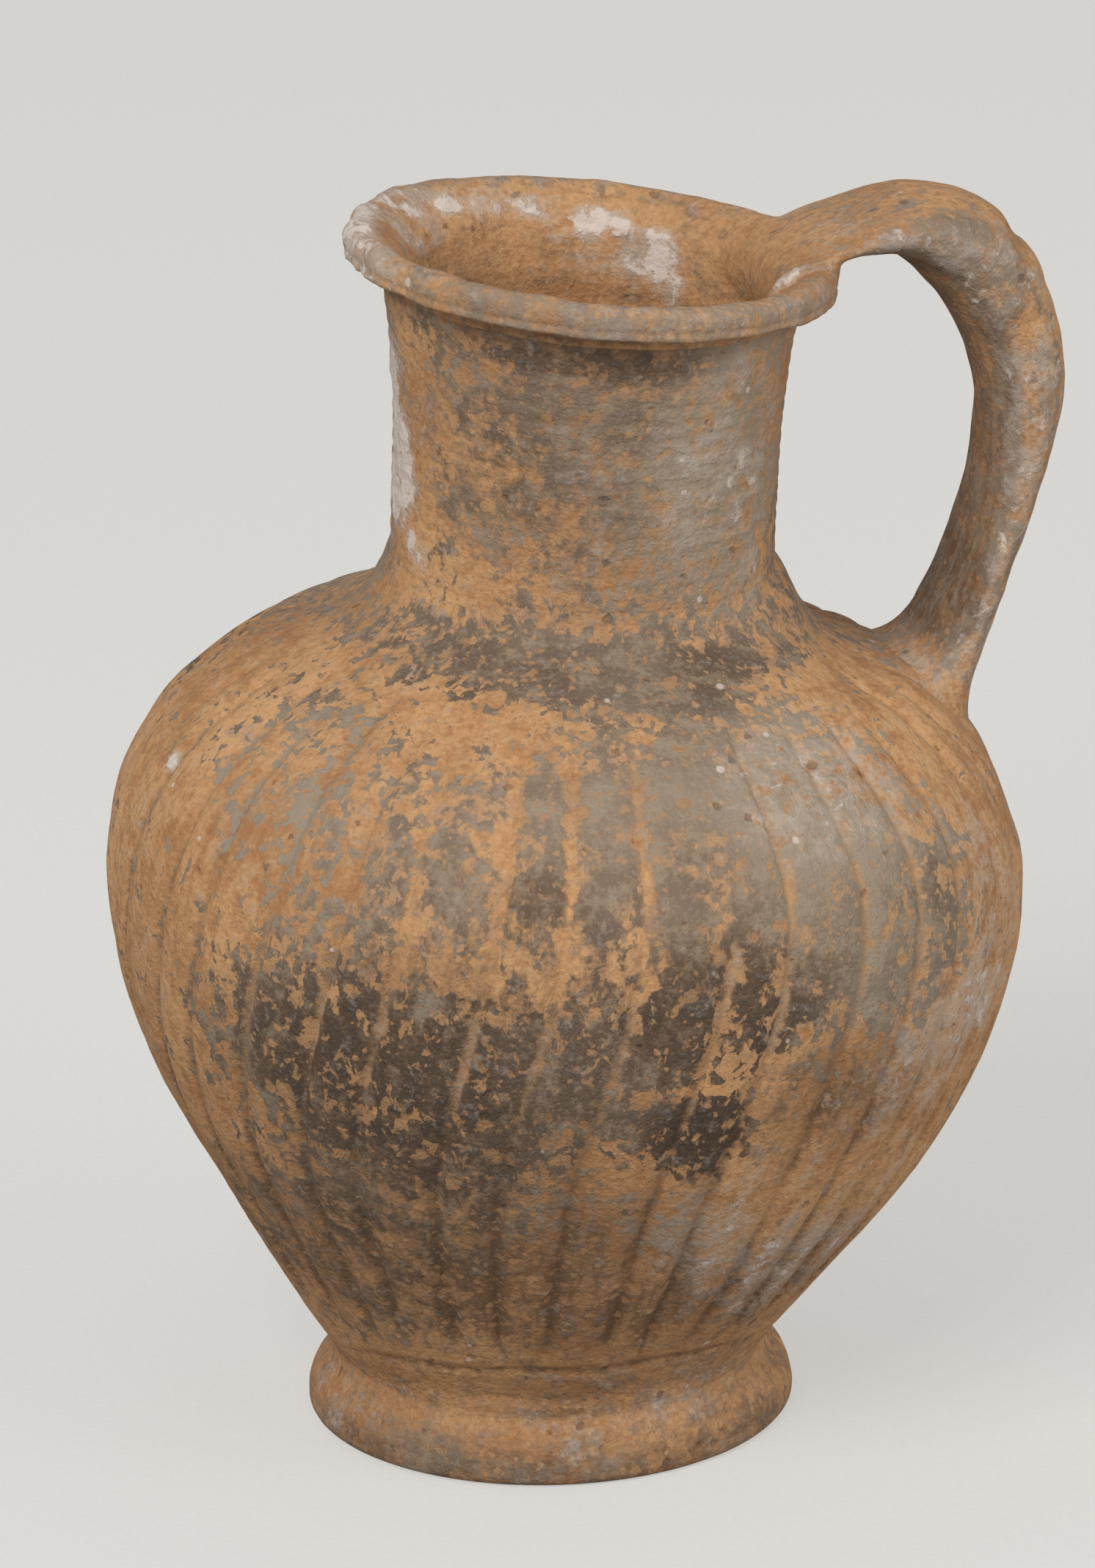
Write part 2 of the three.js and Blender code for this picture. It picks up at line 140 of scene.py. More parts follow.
def face(points, step=1.0, inside=False, rough=1.0):
    """A stretch of a turned outline as rows of radius, height, outward normal, inside and roughness.
    The clay lies on the left of the line."""
    line = even(points, step)
    ahead = np.gradient(line, axis=0)
    ahead /= np.linalg.norm(ahead, axis=1)[:, None]
    rows = len(line)
    return np.column_stack([line, ahead[:, 1], -ahead[:, 0], np.full(rows, inside), np.full(rows, rough)])


def joint(points, step=3.0):
    """A stretch that lies in a luted joint and stays smooth."""
    return face(points, step, rough=0.0)


def without_doubles(rings):
    """The rings of an outline, where two that coincide become one: the rough one, or else the first."""
    rough = rings[:, 5]
    before, after = np.roll(rings, 1, axis=0), np.roll(rings, -1, axis=0)
    as_before = np.linalg.norm(rings[:, :2] - before[:, :2], axis=1) < 1e-6
    as_after = np.linalg.norm(rings[:, :2] - after[:, :2], axis=1) < 1e-6
    return rings[~((as_after & (rough < after[:, 5])) | (as_before & (rough <= before[:, 5])))]


def turn_from_camera(angle):
    """How many degrees an angle about +Z lies to the right of the side that faces the camera."""
    return (np.degrees(angle) - CAMERA_SIDE + 180) % 360 - 180


def built(name, points, faces):
    """A mesh from points in millimetres and the faces between them."""
    mesh = bpy.data.meshes.new(name)
    mesh.from_pydata((np.asarray(points) * MM).tolist(), [], faces)
    return mesh


class Turning:
    """A turned outline spread over the round, with the place, angle and height of every point."""

    def __init__(self, stretches, columns, angles=None):
        self.rings = without_doubles(np.vstack(stretches))
        radius, height, out, up, inside, rough = self.rings.T[:, :, None]
        plain = np.linspace(-math.pi, math.pi, columns, endpoint=False)[None, :]
        self.angle = (plain if angles is None else angles(height)) + 0 * radius
        self.radius, self.height, self.inside, self.rough = (
            column + 0 * self.angle for column in (radius, height, inside, rough))
        self.upright = np.stack(
            [radius * np.cos(self.angle), radius * np.sin(self.angle), self.height], axis=-1)
        self.outward = np.stack(
            [out * np.cos(self.angle), out * np.sin(self.angle), up + 0 * self.angle], axis=-1)
        self.facing = turn_from_camera(self.angle)

    def mesh(self, name, relief):
        """The closed mesh, with relief in millimetres pushed out of its rough stretches."""
        points = self.upright + (relief * self.rough)[..., None] * self.outward
        rows, columns = self.angle.shape
        pole = self.rings[:, 0] < 1e-6
        self.index = np.zeros((rows, columns), int)
        corners = []
        for i in range(rows):
            count = 1 if pole[i] else columns
            self.index[i] = len(corners) + (0 if pole[i] else np.arange(columns))
            corners.extend(settle(points[i, :count]))
        faces = []
        unrolled = []
        for i in range(rows):
            upper = (i + 1) % rows
            if pole[i] and pole[upper]:
                continue
            for j in range(columns):
                right = (j + 1) % columns
                ring = [(i, j, self.index[i, j]), (i, j + 1, self.index[i, right]),
                        (i + 1, j + 1, self.index[upper, right]), (i + 1, j, self.index[upper, j])]
                if pole[i]:
                    ring.pop(1)
                if pole[upper]:
                    ring.pop(2)
                faces.append([corner[2] for corner in ring])
                unrolled.extend((corner[1] / columns, corner[0] / rows) for corner in ring)
        mesh = built(name, corners, faces)
        mesh.uv_layers.new(name="OFBake").data.foreach_set("uv", np.array(unrolled, np.float32).ravel())
        mesh.shade_smooth()
        mesh.set_sharp_from_angle(angle=math.radians(55))
        return mesh

    def spread(self, mesh, name, values):
        """Stores a value, or a vector, for every point of the mesh."""
        flat = np.zeros((len(mesh.vertices),) + values.shape[2:])
        flat[self.index.ravel()] = values.reshape((-1,) + values.shape[2:])
        store(mesh, name, flat)


def store(mesh, name, values):
    """A value or vector for every point of a mesh, under a name that its material reads."""
    vector = values.ndim == 2
    layer = mesh.attributes.new(name, "FLOAT_VECTOR" if vector else "FLOAT", "POINT")
    layer.data.foreach_set("vector" if vector else "value", values.astype(np.float32).ravel())


def patches(facing, height, marks):
    """Soft-edged patches added up. Each has a strength, its angle and height, and its reach in both."""
    total = np.zeros(np.shape(facing))
    for strength, angle, level, wide, tall in marks:
        turn = (facing - angle + 180) % 360 - 180
        reach = (turn / wide) ** 2 + ((height - level) / tall) ** 2
        total += strength * np.exp(-reach * reach)
    return total


# The stain marks hold real stains and also painted shade: in the undercut above the foot, in grooves, under
# the lip, on the strap's inner face and partly round the lower belly. The lime marks also hold a painted
# sheen on the right shoulder.
WEAR = ("slip", "soot", "stain", "lime", "rubbed")
SLIP, SOOT, STAIN_AND_SHADE, LIME, RUBBED = range(len(WEAR))
WEAR_LIMITS = (-0.4, 1.3)


def worn(facing, height, ground, **marks):
    """How much slip, soot, stain, lime and rubbing there is: the same everywhere, but for its patches."""
    return np.stack([
        level + patches(facing, height, marks.get(name, [])) for name, level in zip(WEAR, ground)], axis=-1)


def screen(red, green, blue):
    """A colour as it looks on screen, from 0 to 255, in the linear values that shaders take."""
    return tuple(((value / 255 + 0.055) / 1.055) ** 2.4 for value in (red, green, blue)) + (1.0,)


class Wire:
    """An output of a shader node. Sums and products of wires and numbers add Math nodes."""

    def __init__(self, socket):
        self.socket = socket

    def node(self, kind, settings=None, inputs=None, output=0):
        """Adds a node of a kind with its settings, and fills its inputs with numbers or wires."""
        tree = self.socket.id_data
        made = tree.nodes.new(kind)
        for name, value in (settings or {}).items():
            setattr(made, name, value)
        for key, value in (inputs or {}).items():
            if isinstance(value, Wire):
                tree.links.new(value.socket, made.inputs[key])
            else:
                made.inputs[key].default_value = value
        return Wire(made.outputs[output])

    def maths(self, operation, first, second):
        return self.node("ShaderNodeMath", {"operation": operation}, {0: first, 1: second})

    def __add__(self, other):
        return self.maths("ADD", self, other)

    def __sub__(self, other):
        return self.maths("SUBTRACT", self, other)

    def __rsub__(self, other):
        return self.maths("SUBTRACT", other, self)

    def __mul__(self, other):
        return self.maths("MULTIPLY", self, other)

    def __pow__(self, other):
        return self.maths("POWER", self, other)

    __radd__ = __add__
    __rmul__ = __mul__

    def between(self, start, end):
        """Smoothly 0 where this is below start and 1 where it is above end."""
        return self.node("ShaderNodeMapRange", {"interpolation_type": "SMOOTHSTEP"},
                         {"Value": self, "From Min": start, "From Max": end})

    def tint(self, ground, colour):
        """Turns one colour into another where this goes from 0 to 1."""
        return self.node("ShaderNodeMix", {"data_type": "RGBA"}, {0: self, 6: ground, 7: colour}, 2)


LIGHT_CLAY = screen(212, 164, 115)
DEEP_CLAY = screen(168, 120, 77)
RUST_CLAY = screen(150, 96, 58)
BROWN_STAIN_AND_SHADE = screen(92, 69, 50)
GREY_SLIP = screen(154, 140, 121)
BROWN_SLIP = screen(104, 84, 65)
DARK_SLIP = screen(64, 52, 42)
GROOVE_TAN = screen(168, 137, 104)
LIME_HAZE_AND_SHEEN = screen(192, 178, 164)
LIME_WHITE = screen(220, 207, 196)
# Sizes of the marks in the clay and on it, in millimetres
TONE_SIZE = 24.0
MOTTLE_SIZE = 4.4
GRIT_SIZE = 1.0
DRIFT_SIZE = 11.0
FLAKE_SIZE = 2.3
SPALL_SIZE = 3.7
DOT_SIZE = 1.6
CRUMB_SIZE = 2.4
SPECK_SIZE = 4.6
PIT_SIZE = 4.3
SCRAPE_SIZE = 1.7
RING_SIZE = 1.3
STRETCH = 0.14  # scrapes and wheel rings are this much finer across the way of working than along it


def fired_clay(name):
    """Fired orange clay under what is left of a dark slip, with lime from the soil on top.
    The points say how much slip, soot, stain, lime and groove there is, how far the slip is rubbed rather
    than flaked, and which way the clay was worked."""
    material = bpy.data.materials.new(name)
    material.use_nodes = True
    tree = material.node_tree
    shader = tree.nodes["Principled BSDF"]
    start = Wire(tree.nodes.new("ShaderNodeTexCoord").outputs["Object"])

    def given(label, output="Fac"):
        return start.node("ShaderNodeAttribute", {"attribute_name": label}, output=output)

    def vector(operation, first, second):
        return start.node("ShaderNodeVectorMath", {"operation": operation}, {0: first, 1: second})

    def clouds(place, size, detail, rough, skew=0.0, output=0):
        return start.node("ShaderNodeTexNoise", {}, {
            "Vector": place, "Scale": 1 / size, "Detail": detail, "Roughness": rough,
            "Distortion": skew}, output)

    def dots(place, size):
        cells = {"Vector": place, "Scale": 1 / size}
        distance = start.node("ShaderNodeTexVoronoi", {}, cells)
        colour = start.node("ShaderNodeTexVoronoi", {}, cells, "Color")
        return distance, start.node("ShaderNodeSeparateColor", {}, {0: colour})

    place = vector("MULTIPLY", start, (1 / MM, 1 / MM, 1 / MM))
    grain = given("grain", "Vector")
    slip_left, soot_here, stain_and_shade_here, lime_and_sheen_here, rubbed = (given(label) for label in WEAR)
    groove_here, wheel = given("groove"), given("wheel")

    tone = clouds(place, TONE_SIZE, 3.0, 0.55) - 0.5
    mottle = clouds(place, MOTTLE_SIZE, 6.0, 0.72) - 0.5
    fine = clouds(place, GRIT_SIZE, 4.0, 0.65) - 0.5
    scrape = clouds(vector("MULTIPLY", grain, (1.0, 1.0, STRETCH)), SCRAPE_SIZE, 4.0, 0.6)
    rings = clouds(vector("MULTIPLY", grain, (STRETCH, STRETCH, 1.0)), RING_SIZE, 4.0, 0.6)
    streak = scrape + wheel * (rings - scrape)

    flakes = clouds(vector("MULTIPLY", place, (1.0, 1.0, 0.75)), FLAKE_SIZE, 5.0, 0.6, 0.4)
    drift = clouds(place, DRIFT_SIZE, 4.0, 0.6) - 0.5
    kept = slip_left + drift * 1.6
    wear = flakes + (rubbed * 0.4 + 0.1) * (streak - flakes)
    margin = (kept - 0.5) * 0.2 + 0.5 - wear
    edge = rubbed * 0.1 + 0.018
    film = margin.between(0 - edge, edge)
    shaking = vector("MULTIPLY", clouds(place, 1.2, 3.0, 0.6, output="Color"), (1.8, 1.8, 1.8))
    shaken = vector("ADD", place, shaking)
    loss = 1.3 - slip_left + drift * 0.8
    distance, chance = dots(shaken, SPALL_SIZE)
    spall = chance ** 2.2 * (loss * 0.5 + 0.16) - distance
    spot = spall.between(-0.05, 0.05)
    dot_distance, dot_chance = dots(shaken, DOT_SIZE)
    dot = (dot_chance * (loss * 0.34 + 0.16) - dot_distance).between(-0.06, 0.08)
    bareness = 0.4 + streak * 0.8 + mottle * 3.0 + (flakes - 0.5) * 2.2
    bared = (groove_here * bareness).between(0.12, 0.85)
    film = film * (1 - spot * (0.92 - rubbed * 0.4)) * (1 - dot * (0.9 - rubbed * 0.35)) * (1 - bared * 0.5)

    warm = 0.56 + tone * 1.2 + mottle * 1.5 + fine * 0.8 + (streak - 0.5) * 0.9
    clay = warm.between(0.1, 0.9).tint(DEEP_CLAY, LIGHT_CLAY)
    rust = (clouds(place, 1.8, 5.0, 0.7) + spall.between(-0.2, 0.25) * 0.07).between(0.57, 0.67)
    clay = (rust * 0.4).tint(clay, RUST_CLAY)
    # This brown wash is real stain, and painted shade wherever the stain marks hold shade.
    brown_wash_and_shade = (stain_and_shade_here + mottle * 2.2 + (streak - 0.5) * 1.8).between(0.0, 1.05)
    brown_wash_and_shade = brown_wash_and_shade * (1 - dot * 0.45) * (1 - spot * 0.3)
    clay = (brown_wash_and_shade * 0.85).tint(clay, BROWN_STAIN_AND_SHADE)
    dusk = soot_here + tone * 0.9 + mottle * 1.8 + fine * 0.8 + (streak - 0.5) * 0.7
    slip_colour = dusk.between(0.0, 0.85).tint(GREY_SLIP, BROWN_SLIP)
    slip_colour = dusk.between(0.45, 1.1).tint(slip_colour, DARK_SLIP)
    veil = (slip_left + mottle * 3.0).between(0.25, 1.15)
    colour = (veil * 0.38).tint(clay, slip_colour)
    colour = (film * (0.96 - rubbed * 0.2)).tint(colour, slip_colour)
    colour = (bared * (veil * 0.75 + 0.05)).tint(colour, GROOVE_TAN)

    crumbs = clouds(place, CRUMB_SIZE, 5.0, 0.64, 0.3)
    # This haze is lime, and on the right shoulder also a painted sheen.
    lime_haze_and_sheen = (lime_and_sheen_here + mottle * 2.6 + fine * 1.2 + (streak - 0.5) * 0.8).between(0.1, 1.0)
    crust = ((lime_and_sheen_here - 0.85) * 0.42 + 0.5 - crumbs).between(-0.08, 0.09)
    colour = (lime_haze_and_sheen * 0.6).tint(colour, LIME_HAZE_AND_SHEEN)
    colour = (crust * 0.8).tint(colour, LIME_WHITE)
    speck_distance, speck_chance = dots(place, SPECK_SIZE)
    speck = (speck_chance.between(0.88, 1.0) * 0.14 - speck_distance).between(-0.04, 0.02)
    colour = (speck * 0.7).tint(colour, LIME_WHITE)
    pit_distance, pit_chance = dots(shaken, PIT_SIZE)
    pit = (pit_chance.between(0.7, 1.0) * 0.15 - pit_distance).between(-0.08, 0.03)
    colour = (pit * 0.5).tint(colour, BROWN_STAIN_AND_SHADE)

    relief = film * 0.04 + crust * 0.15 + mottle * 0.8 + fine * 0.35 + (streak - 0.5) * 0.25
    relief = relief - pit * 0.22 - spot * 0.07
    bumped = start.node("ShaderNodeBump", {}, {"Height": relief, "Strength": 1.0, "Distance": MM})
    roughness = 0.82 - film * 0.18 + mottle * 0.6 + crust * 0.08
    for socket, wire in (("Base Color", colour), ("Roughness", roughness), ("Normal", bumped)):
        tree.links.new(wire.socket, shader.inputs[socket])
    shader.inputs["Specular IOR Level"].default_value = 0.35
    return material


GRAIN_RADIUS = 45.0  # one radius for the grain of every turned piece, so that it runs on across the joints


def wear_turned(turning, mesh, wear, groove=0.0, wheel=0.0, twist=0.0):
    """Gives a turned mesh its grain, which follows the drawn grooves, and its wear."""
    angle = turning.angle - twist
    turning.spread(mesh, "grain", np.stack(
        [GRAIN_RADIUS * np.cos(angle), GRAIN_RADIUS * np.sin(angle), turning.height], axis=-1))
    turning.spread(mesh, "groove", groove + 0 * angle)
    turning.spread(mesh, "wheel", np.clip(wheel + 0 * angle, 0, 1))
    for column, name in enumerate(WEAR):
        turning.spread(mesh, name, np.clip(wear[..., column], *WEAR_LIMITS))


def stand_in(name, mesh, material, node):
    """Puts a finished mesh into the jug in place of its plain solid."""
    piece = bpy.data.objects.new(name, mesh)
    bpy.context.collection.objects.link(piece)
    mesh.materials.append(material)
    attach(piece, "root")
    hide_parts(node)


def dress(turning, relief, wear, piece, clay, node, slot, **worked):
    """Makes the mesh of a turned piece, wears it and puts it into the jug."""
    mesh = turning.mesh(node + "_clay", relief)
    wear_turned(turning, mesh, wear, **worked)
    stand_in(piece, mesh, fired_clay(clay), node)


foot_side = chain(
    bezier((FOOT_RADIUS - 1.5, 0.15), (FOOT_RADIUS, 0.15), (FOOT_RADIUS, 1.8)),
    bezier((FOOT_RADIUS, 1.8), (FOOT_RADIUS, 5.4), (36.6, 7.1), FOOT_TOP),
)
foot_turning = Turning([
    face([(0, 0.5), (12, 0.45), (30, 0.3), (FOOT_RADIUS - 1.5, 0.15)], 0.8, inside=True),
    face(foot_side, 0.35),
    joint([FOOT_TOP, (30, 8.2), (0, 8.2)]),
], columns=240)


def foot_wear(facing, height):
    """The wear of the foot and of the clay that was wiped from it up the wall."""
    return worn(
        facing, height, (0.08, 0.5, 0.42, 0.1, 0.85),
        slip=[
            (0.6, -34, 3.6, 20, 4.4), (0.4, -6, 2.4, 12, 2.6), (0.3, 14, 1.8, 8, 2.2), (0.3, 50, 3, 16, 3.5),
            (0.34, 150, 4, 40, 5)],
        stain=[(0.34, 0, 2.2, 80, 3.6), (0.14, 4, 12.5, 50, 3.2), (-0.12, -40, 10, 30, 4)],
        lime=[(0.16, 12, 9, 26, 4), (0.25, 40, 13, 20, 5), (0.2, -70, 5, 16, 5)])


def coil_fill(facing, height):
    """The coil above the foot fills the hollow further at the front than at the sides."""
    return patches(facing, height, [(1.7, 2, 10.2, 66, 3.5)])


string_arc = np.linalg.norm(foot_turning.upright[..., :2] - STRING_CENTRE, axis=-1)
string_marks = np.sin(2 * math.pi * string_arc / STRING_PITCH) * STRING_DEPTH
foot_outside = 1 - foot_turning.inside
foot_relief = hand_relief(foot_turning.upright) * foot_outside * ease(foot_turning.height, 0.1, 1.5)
foot_relief += coil_fill(foot_turning.facing, foot_turning.height) * foot_outside
foot_relief += patches(foot_turning.facing, foot_turning.height, [(-0.9, 37, 3.1, 1.5, 0.9)])
foot_relief += foot_turning.inside * np.minimum(string_marks, 0.1)
foot_worn = foot_wear(foot_turning.facing, foot_turning.height)
dress(foot_turning, foot_relief, foot_worn, "foot_disc", "foot_fired_clay", "foot", "bare_clay", wheel=0.7)

# Foot coil
# A coil of soft clay pressed into the angle between foot and wall and smoothed with a fingertip.
# Its hollow is smooth and tan, because the slip stopped above it.

WAIST = (34.6, 12.3)
coil_turning = Turning([
    face(bezier(FOOT_TOP, (34.2, 9.3), (33.7, 10.95), WAIST), 0.35),
    joint([WAIST, (31, 12.3), (31, 8.2), FOOT_TOP]),
], columns=240)
coil_relief = hand_relief(coil_turning.upright) + coil_fill(coil_turning.facing, coil_turning.height)
coil_worn = foot_wear(coil_turning.facing, coil_turning.height)
dress(coil_turning, coil_relief, coil_worn,
      "foot_coil_band", "foot_coil_fired_clay", "foot_coil", "limed_clay", wheel=0.7)

# Body
# The thrown ovoid, of the same orange clay, dipped in a dark slip that has flaked and worn away in patches.
# Thirty-six grooves were drawn down it with a round-ended stick, each a little aslant, while it was soft.

BELLY = (71.4, 88.3)
SHOULDER = (33.0, 132.8)
BORE_FOOT = (25.5, 131.0)  # where the inside of the neck starts
FLUTES = 36
FLUTE_START = math.radians(5)
FLUTE_STRAY = math.radians(1.2)
FLUTE_STRAY_STEP = 2.4
FLUTE_TURN = math.radians(13)
FLUTE_TURN_LOW, FLUTE_TURN_HIGH = 38.3, 112.3
FLUTE_BOTTOM = 20.5
FLUTE_TOP = 127.5
FLUTE_RUN_IN = 9.0  # over which a groove deepens from its lower end
FLUTE_RUN_OUT = 6.0  # and over which it ends at the top
GROOVE_HALF = 1.05
GROOVE_DEPTH = 0.56
PANEL_SWELL = 0.34
# Where the columns of points lie between one groove, at 0, and the next, at 1
FLUTE_COLUMNS = [0, 0.035, 0.075, 0.125, 0.2, 0.34, 0.5, 0.66, 0.8, 0.875, 0.925, 0.965]
SHORT_GROOVE = 27  # this one starts lower on the shoulder than the others
SHORT_TOP = 102.5

lower_wall = bezier(WAIST, (48.0, 31.5), (BELLY[0], 58.3), BELLY, steps=80)
upper_wall = bezier(BELLY, (BELLY[0], 112.3), (54.4, 121.4), SHOULDER, steps=80)
neck_joint = upper_wall[np.searchsorted(-upper_wall[:, 0], -36.4)]
body_skin = chain(lower_wall, upper_wall[upper_wall[:, 0] > neck_joint[0]], [neck_joint])
inner_wall = chain(
    bezier(BORE_FOOT, (25.5, 129.0), (30.0, 127.2)),
    bezier((30.0, 127.2), (55.0, 116.0), (66.9, 106.0), (66.9, 88.3)),
    bezier((66.9, 88.3), (66.9, 60.0), (45.0, 34.0), (33.5, 18.5)),
    bezier((33.5, 18.5), (29.5, 13.8), (22.0, 13.8)),
)


def flute_twist(height):
    """How far the grooves have turned at a height, from their upper ends."""
    return FLUTE_TURN * (ease(height, FLUTE_TURN_LOW, FLUTE_TURN_HIGH) - 1)


def flute_angles(height):
    """The angle of every column of points: the grooves are drawn by eye, so they stray a little."""
    number = np.arange(FLUTES + 1)
    stray = FLUTE_STRAY * np.sin(number % FLUTES * FLUTE_STRAY_STEP)
    lines = FLUTE_START + number * 2 * math.pi / FLUTES - 2 * math.pi + stray + flute_twist(height)
    parts = [(1 - f) * lines[:, :-1] + f * lines[:, 1:] for f in FLUTE_COLUMNS]
    return np.stack(parts, axis=2).reshape(len(height), -1)


def neck_set(facing, height):
    """Beside the neck the wall has sunk, most of all at the handle, and its coil was wiped out wide."""
    return patches(facing, height, [
        (-2.6, 130, 127.5, 66, 6), (1.6, 112, 134.5, 54, 4.5), (-1.3, -122, 129.5, 50, 4.5),
        (0.8, -112, 136.5, 46, 3.5)])


body_turning = Turning([
    face(body_skin[body_skin[:, 1] <= 24], 0.5),
    face(body_skin[body_skin[:, 1] >= 23.5], 1.15),
    joint(chain([neck_joint], [(33.5, 127.9), BORE_FOOT]), 3.0),
    face(inner_wall, 5.5, inside=True),
    joint([(22.0, 13.8), (10.0, 13.8), (0.0, 13.8)], 6.0),
    joint([(0.0, 9.0), (30.0, 9.0), WAIST], 8.0),
], columns=FLUTES * len(FLUTE_COLUMNS), angles=flute_angles)

body_facing, body_z = body_turning.facing, body_turning.height
outer = 1 - body_turning.inside
between_grooves = np.tile(FLUTE_COLUMNS, FLUTES)[None, :]
groove_number = (np.repeat(np.arange(FLUTES), len(FLUTE_COLUMNS))[None, :] + (between_grooves > 0.5)) % FLUTES
groove_luck = np.array([noise.noise((n * 5.31 + 0.4, 2.2, 0.1)) for n in range(FLUTES)])[groove_number]
groove_top = np.where(groove_number == SHORT_GROOVE, SHORT_TOP, FLUTE_TOP + 3 * groove_luck)
groove_fade = ease(body_z, FLUTE_BOTTOM, FLUTE_BOTTOM + FLUTE_RUN_IN) * outer
groove_fade = groove_fade * (1 - ease(body_z, groove_top - FLUTE_RUN_OUT, groove_top))
groove_away = np.minimum(between_grooves, 1 - between_grooves) * 2 * math.pi / FLUTES * body_turning.radius
groove_mask = np.exp(-(groove_away / GROOVE_HALF) ** 2) * groove_fade
body_relief = -GROOVE_DEPTH * (1 + 0.4 * groove_luck) * groove_mask
body_relief -= PANEL_SWELL * (2 * np.abs(between_grooves - 0.5)) ** 2 * groove_fade

# The foot coil's clay was wiped up over the wall and ends there in a thin crumbly edge, highest at the front
SMEAR_TOP = 13.6
SMEAR_FRONT = 6.2
SMEAR_PROUD = 0.12
SMEAR_SOFT = 0.5
UNDERCUT_DEPTH = 0.3
round_points = body_turning.upright * (1, 1, 0)
smear_front = patches(body_facing, 0 * body_z, [(1, 5, 0, 60, 1)])
smear_edge = SMEAR_TOP + SMEAR_FRONT * smear_front
smear_edge += 0.9 * swell(round_points, 10, 7) + 0.5 * swell(body_turning.upright, 2.6, 3)
smear = (1 - ease(body_z, smear_edge - SMEAR_SOFT, smear_edge + SMEAR_SOFT)) * outer
undercut = np.exp(-((body_z - smear_edge - 0.7) / 0.8) ** 2) * outer * (0.25 + 0.75 * smear_front)
body_relief += SMEAR_PROUD * smear * smear_front * ease(body_z, WAIST[1], WAIST[1] + 2)
body_relief -= UNDERCUT_DEPTH * undercut
body_relief += (coil_fill(body_facing, body_z) + neck_set(body_facing, body_z)) * outer
body_relief += hand_relief(body_turning.upright)
body_relief += patches(body_facing, body_z, [(-1.1, 106, 101, 24, 9)]) * outer
body_relief += 0.35 * np.cos(body_z - body_turning.angle) * body_turning.inside

# The slip has stayed in the hollow under the neck, on the right shoulder and in a dark belt round the belly
SHOULDER_SOOT = [(0.1, 5, 131.5, 55, 5)]
FULL_SLIP = 0.86  # even where it is best kept, small spots of it have gone


def blend(first, second, part):
    """A blend of two lots of wear."""
    return first + np.asarray(part)[..., None] * (second - first)


def body_wear(points):
    """The wear of the body's wall at points of the upright form."""
    facing, height = turn_from_camera(np.arctan2(points[..., 1], points[..., 0])), points[..., 2]
    front = worn(
        facing, height, (-0.06, 0.45, -0.02, 0.04, 0.0),
        slip=[
            (0.75, 8, 131.5, 54, 4.5), (-0.1, -80, 134, 30, 8), (0.92, 34, 103, 30, 27),
            (0.95, -24, 77.5, 28, 19.5), (0.2, 20, 90, 13, 11), (0.85, 17, 68, 7.5, 9.5),
            (0.5, -1, 77, 14, 13), (0.25, 8, 76, 8, 10), (0.52, -6, 112, 21, 15), (0.3, 2, 123, 38, 7),
            (0.36, -45, 118, 15, 10), (0.3, -32, 106, 16, 12), (0.25, 6, 84, 12, 10), (0.2, -48, 86, 14, 10),
            (0.14, -66, 116, 14, 10), (0.26, -54, 125, 18, 4.5), (-0.3, -12, 125, 14, 5),
            (0.2, -14, 105, 18, 7), (-0.6, 12, 76.8, 10, 1.7), (-0.36, -12, 97, 10, 3.4),
            (-0.3, 7, 102, 2.5, 8), (-0.3, 66, 107, 5, 14), (0.5, -42, 40, 27, 19), (0.12, -2, 42, 17, 20),
            (0.42, -14, 55, 34, 9), (0.3, 20, 48, 9, 10), (0.3, 36, 30, 28, 9)],
        soot=SHOULDER_SOOT + [
            (0.32, -20, 75, 33, 19), (0.42, 19, 90, 13, 12), (0.55, 17, 67, 8, 9), (-0.4, 49, 117, 20, 12),
            (-0.1, 46, 90, 14, 8), (-0.2, -48, 116, 18, 12), (0.14, -30, 38, 42, 20), (-0.35, 20, 48, 9, 10),
            (0.2, 40, 30, 28, 9), (0.25, -4, 106, 6, 5), (0.12, -34, 126, 34, 5), (-0.1, 2, 119, 32, 10),
            (-0.12, 36, 101, 22, 9)],
        # The stain patches low on the belly, about 30 to 45 mm high, are partly a brown wash and partly
        # painted shade on the lower half, which faces down away from the light.
        stain=[
            (0.66, -42, 40, 32, 20), (0.64, 0, 41, 26, 22), (0.62, 36, 70, 17, 13), (0.32, -22, 75, 28, 18),
            (0.5, -8, 95, 24, 8), (0.5, 40, 32, 30, 13), (0.25, -78, 45, 20, 26), (0.3, 6, 75, 14, 4)],
        # The lime patch on the right shoulder, at 40 degrees and 117 mm high, is partly lime and partly a
        # painted sheen of light on the slip.
        lime=[
            (0.34, 20, 48, 10, 10), (0.5, 54, 74, 14, 12), (0.4, 40, 37, 18, 9), (0.52, 40, 117, 18, 10),
            (1.2, -71, 112, 1.4, 1.2), (0.45, 68, 90, 11, 22)],
        rubbed=[(0.7, 0, 33, 90, 27), (0.3, 36, 66, 18, 14), (0.42, 12, 109, 44, 18)])
    broad = swell(points, 30, 6)
    away = np.stack([0.42 + 0.9 * broad, 0.5 + 0.5 * swell(points, 40, 2), 0.25 - 0.4 * broad,
                     0.12 + 0.3 * swell(points, 26, 4), 0.2 + 0 * broad], axis=-1)
    worn_wall = blend(front, away, ease(np.abs(facing), 76, 108))
    worn_wall[..., SLIP] = np.minimum(worn_wall[..., SLIP], FULL_SLIP)
    return worn_wall


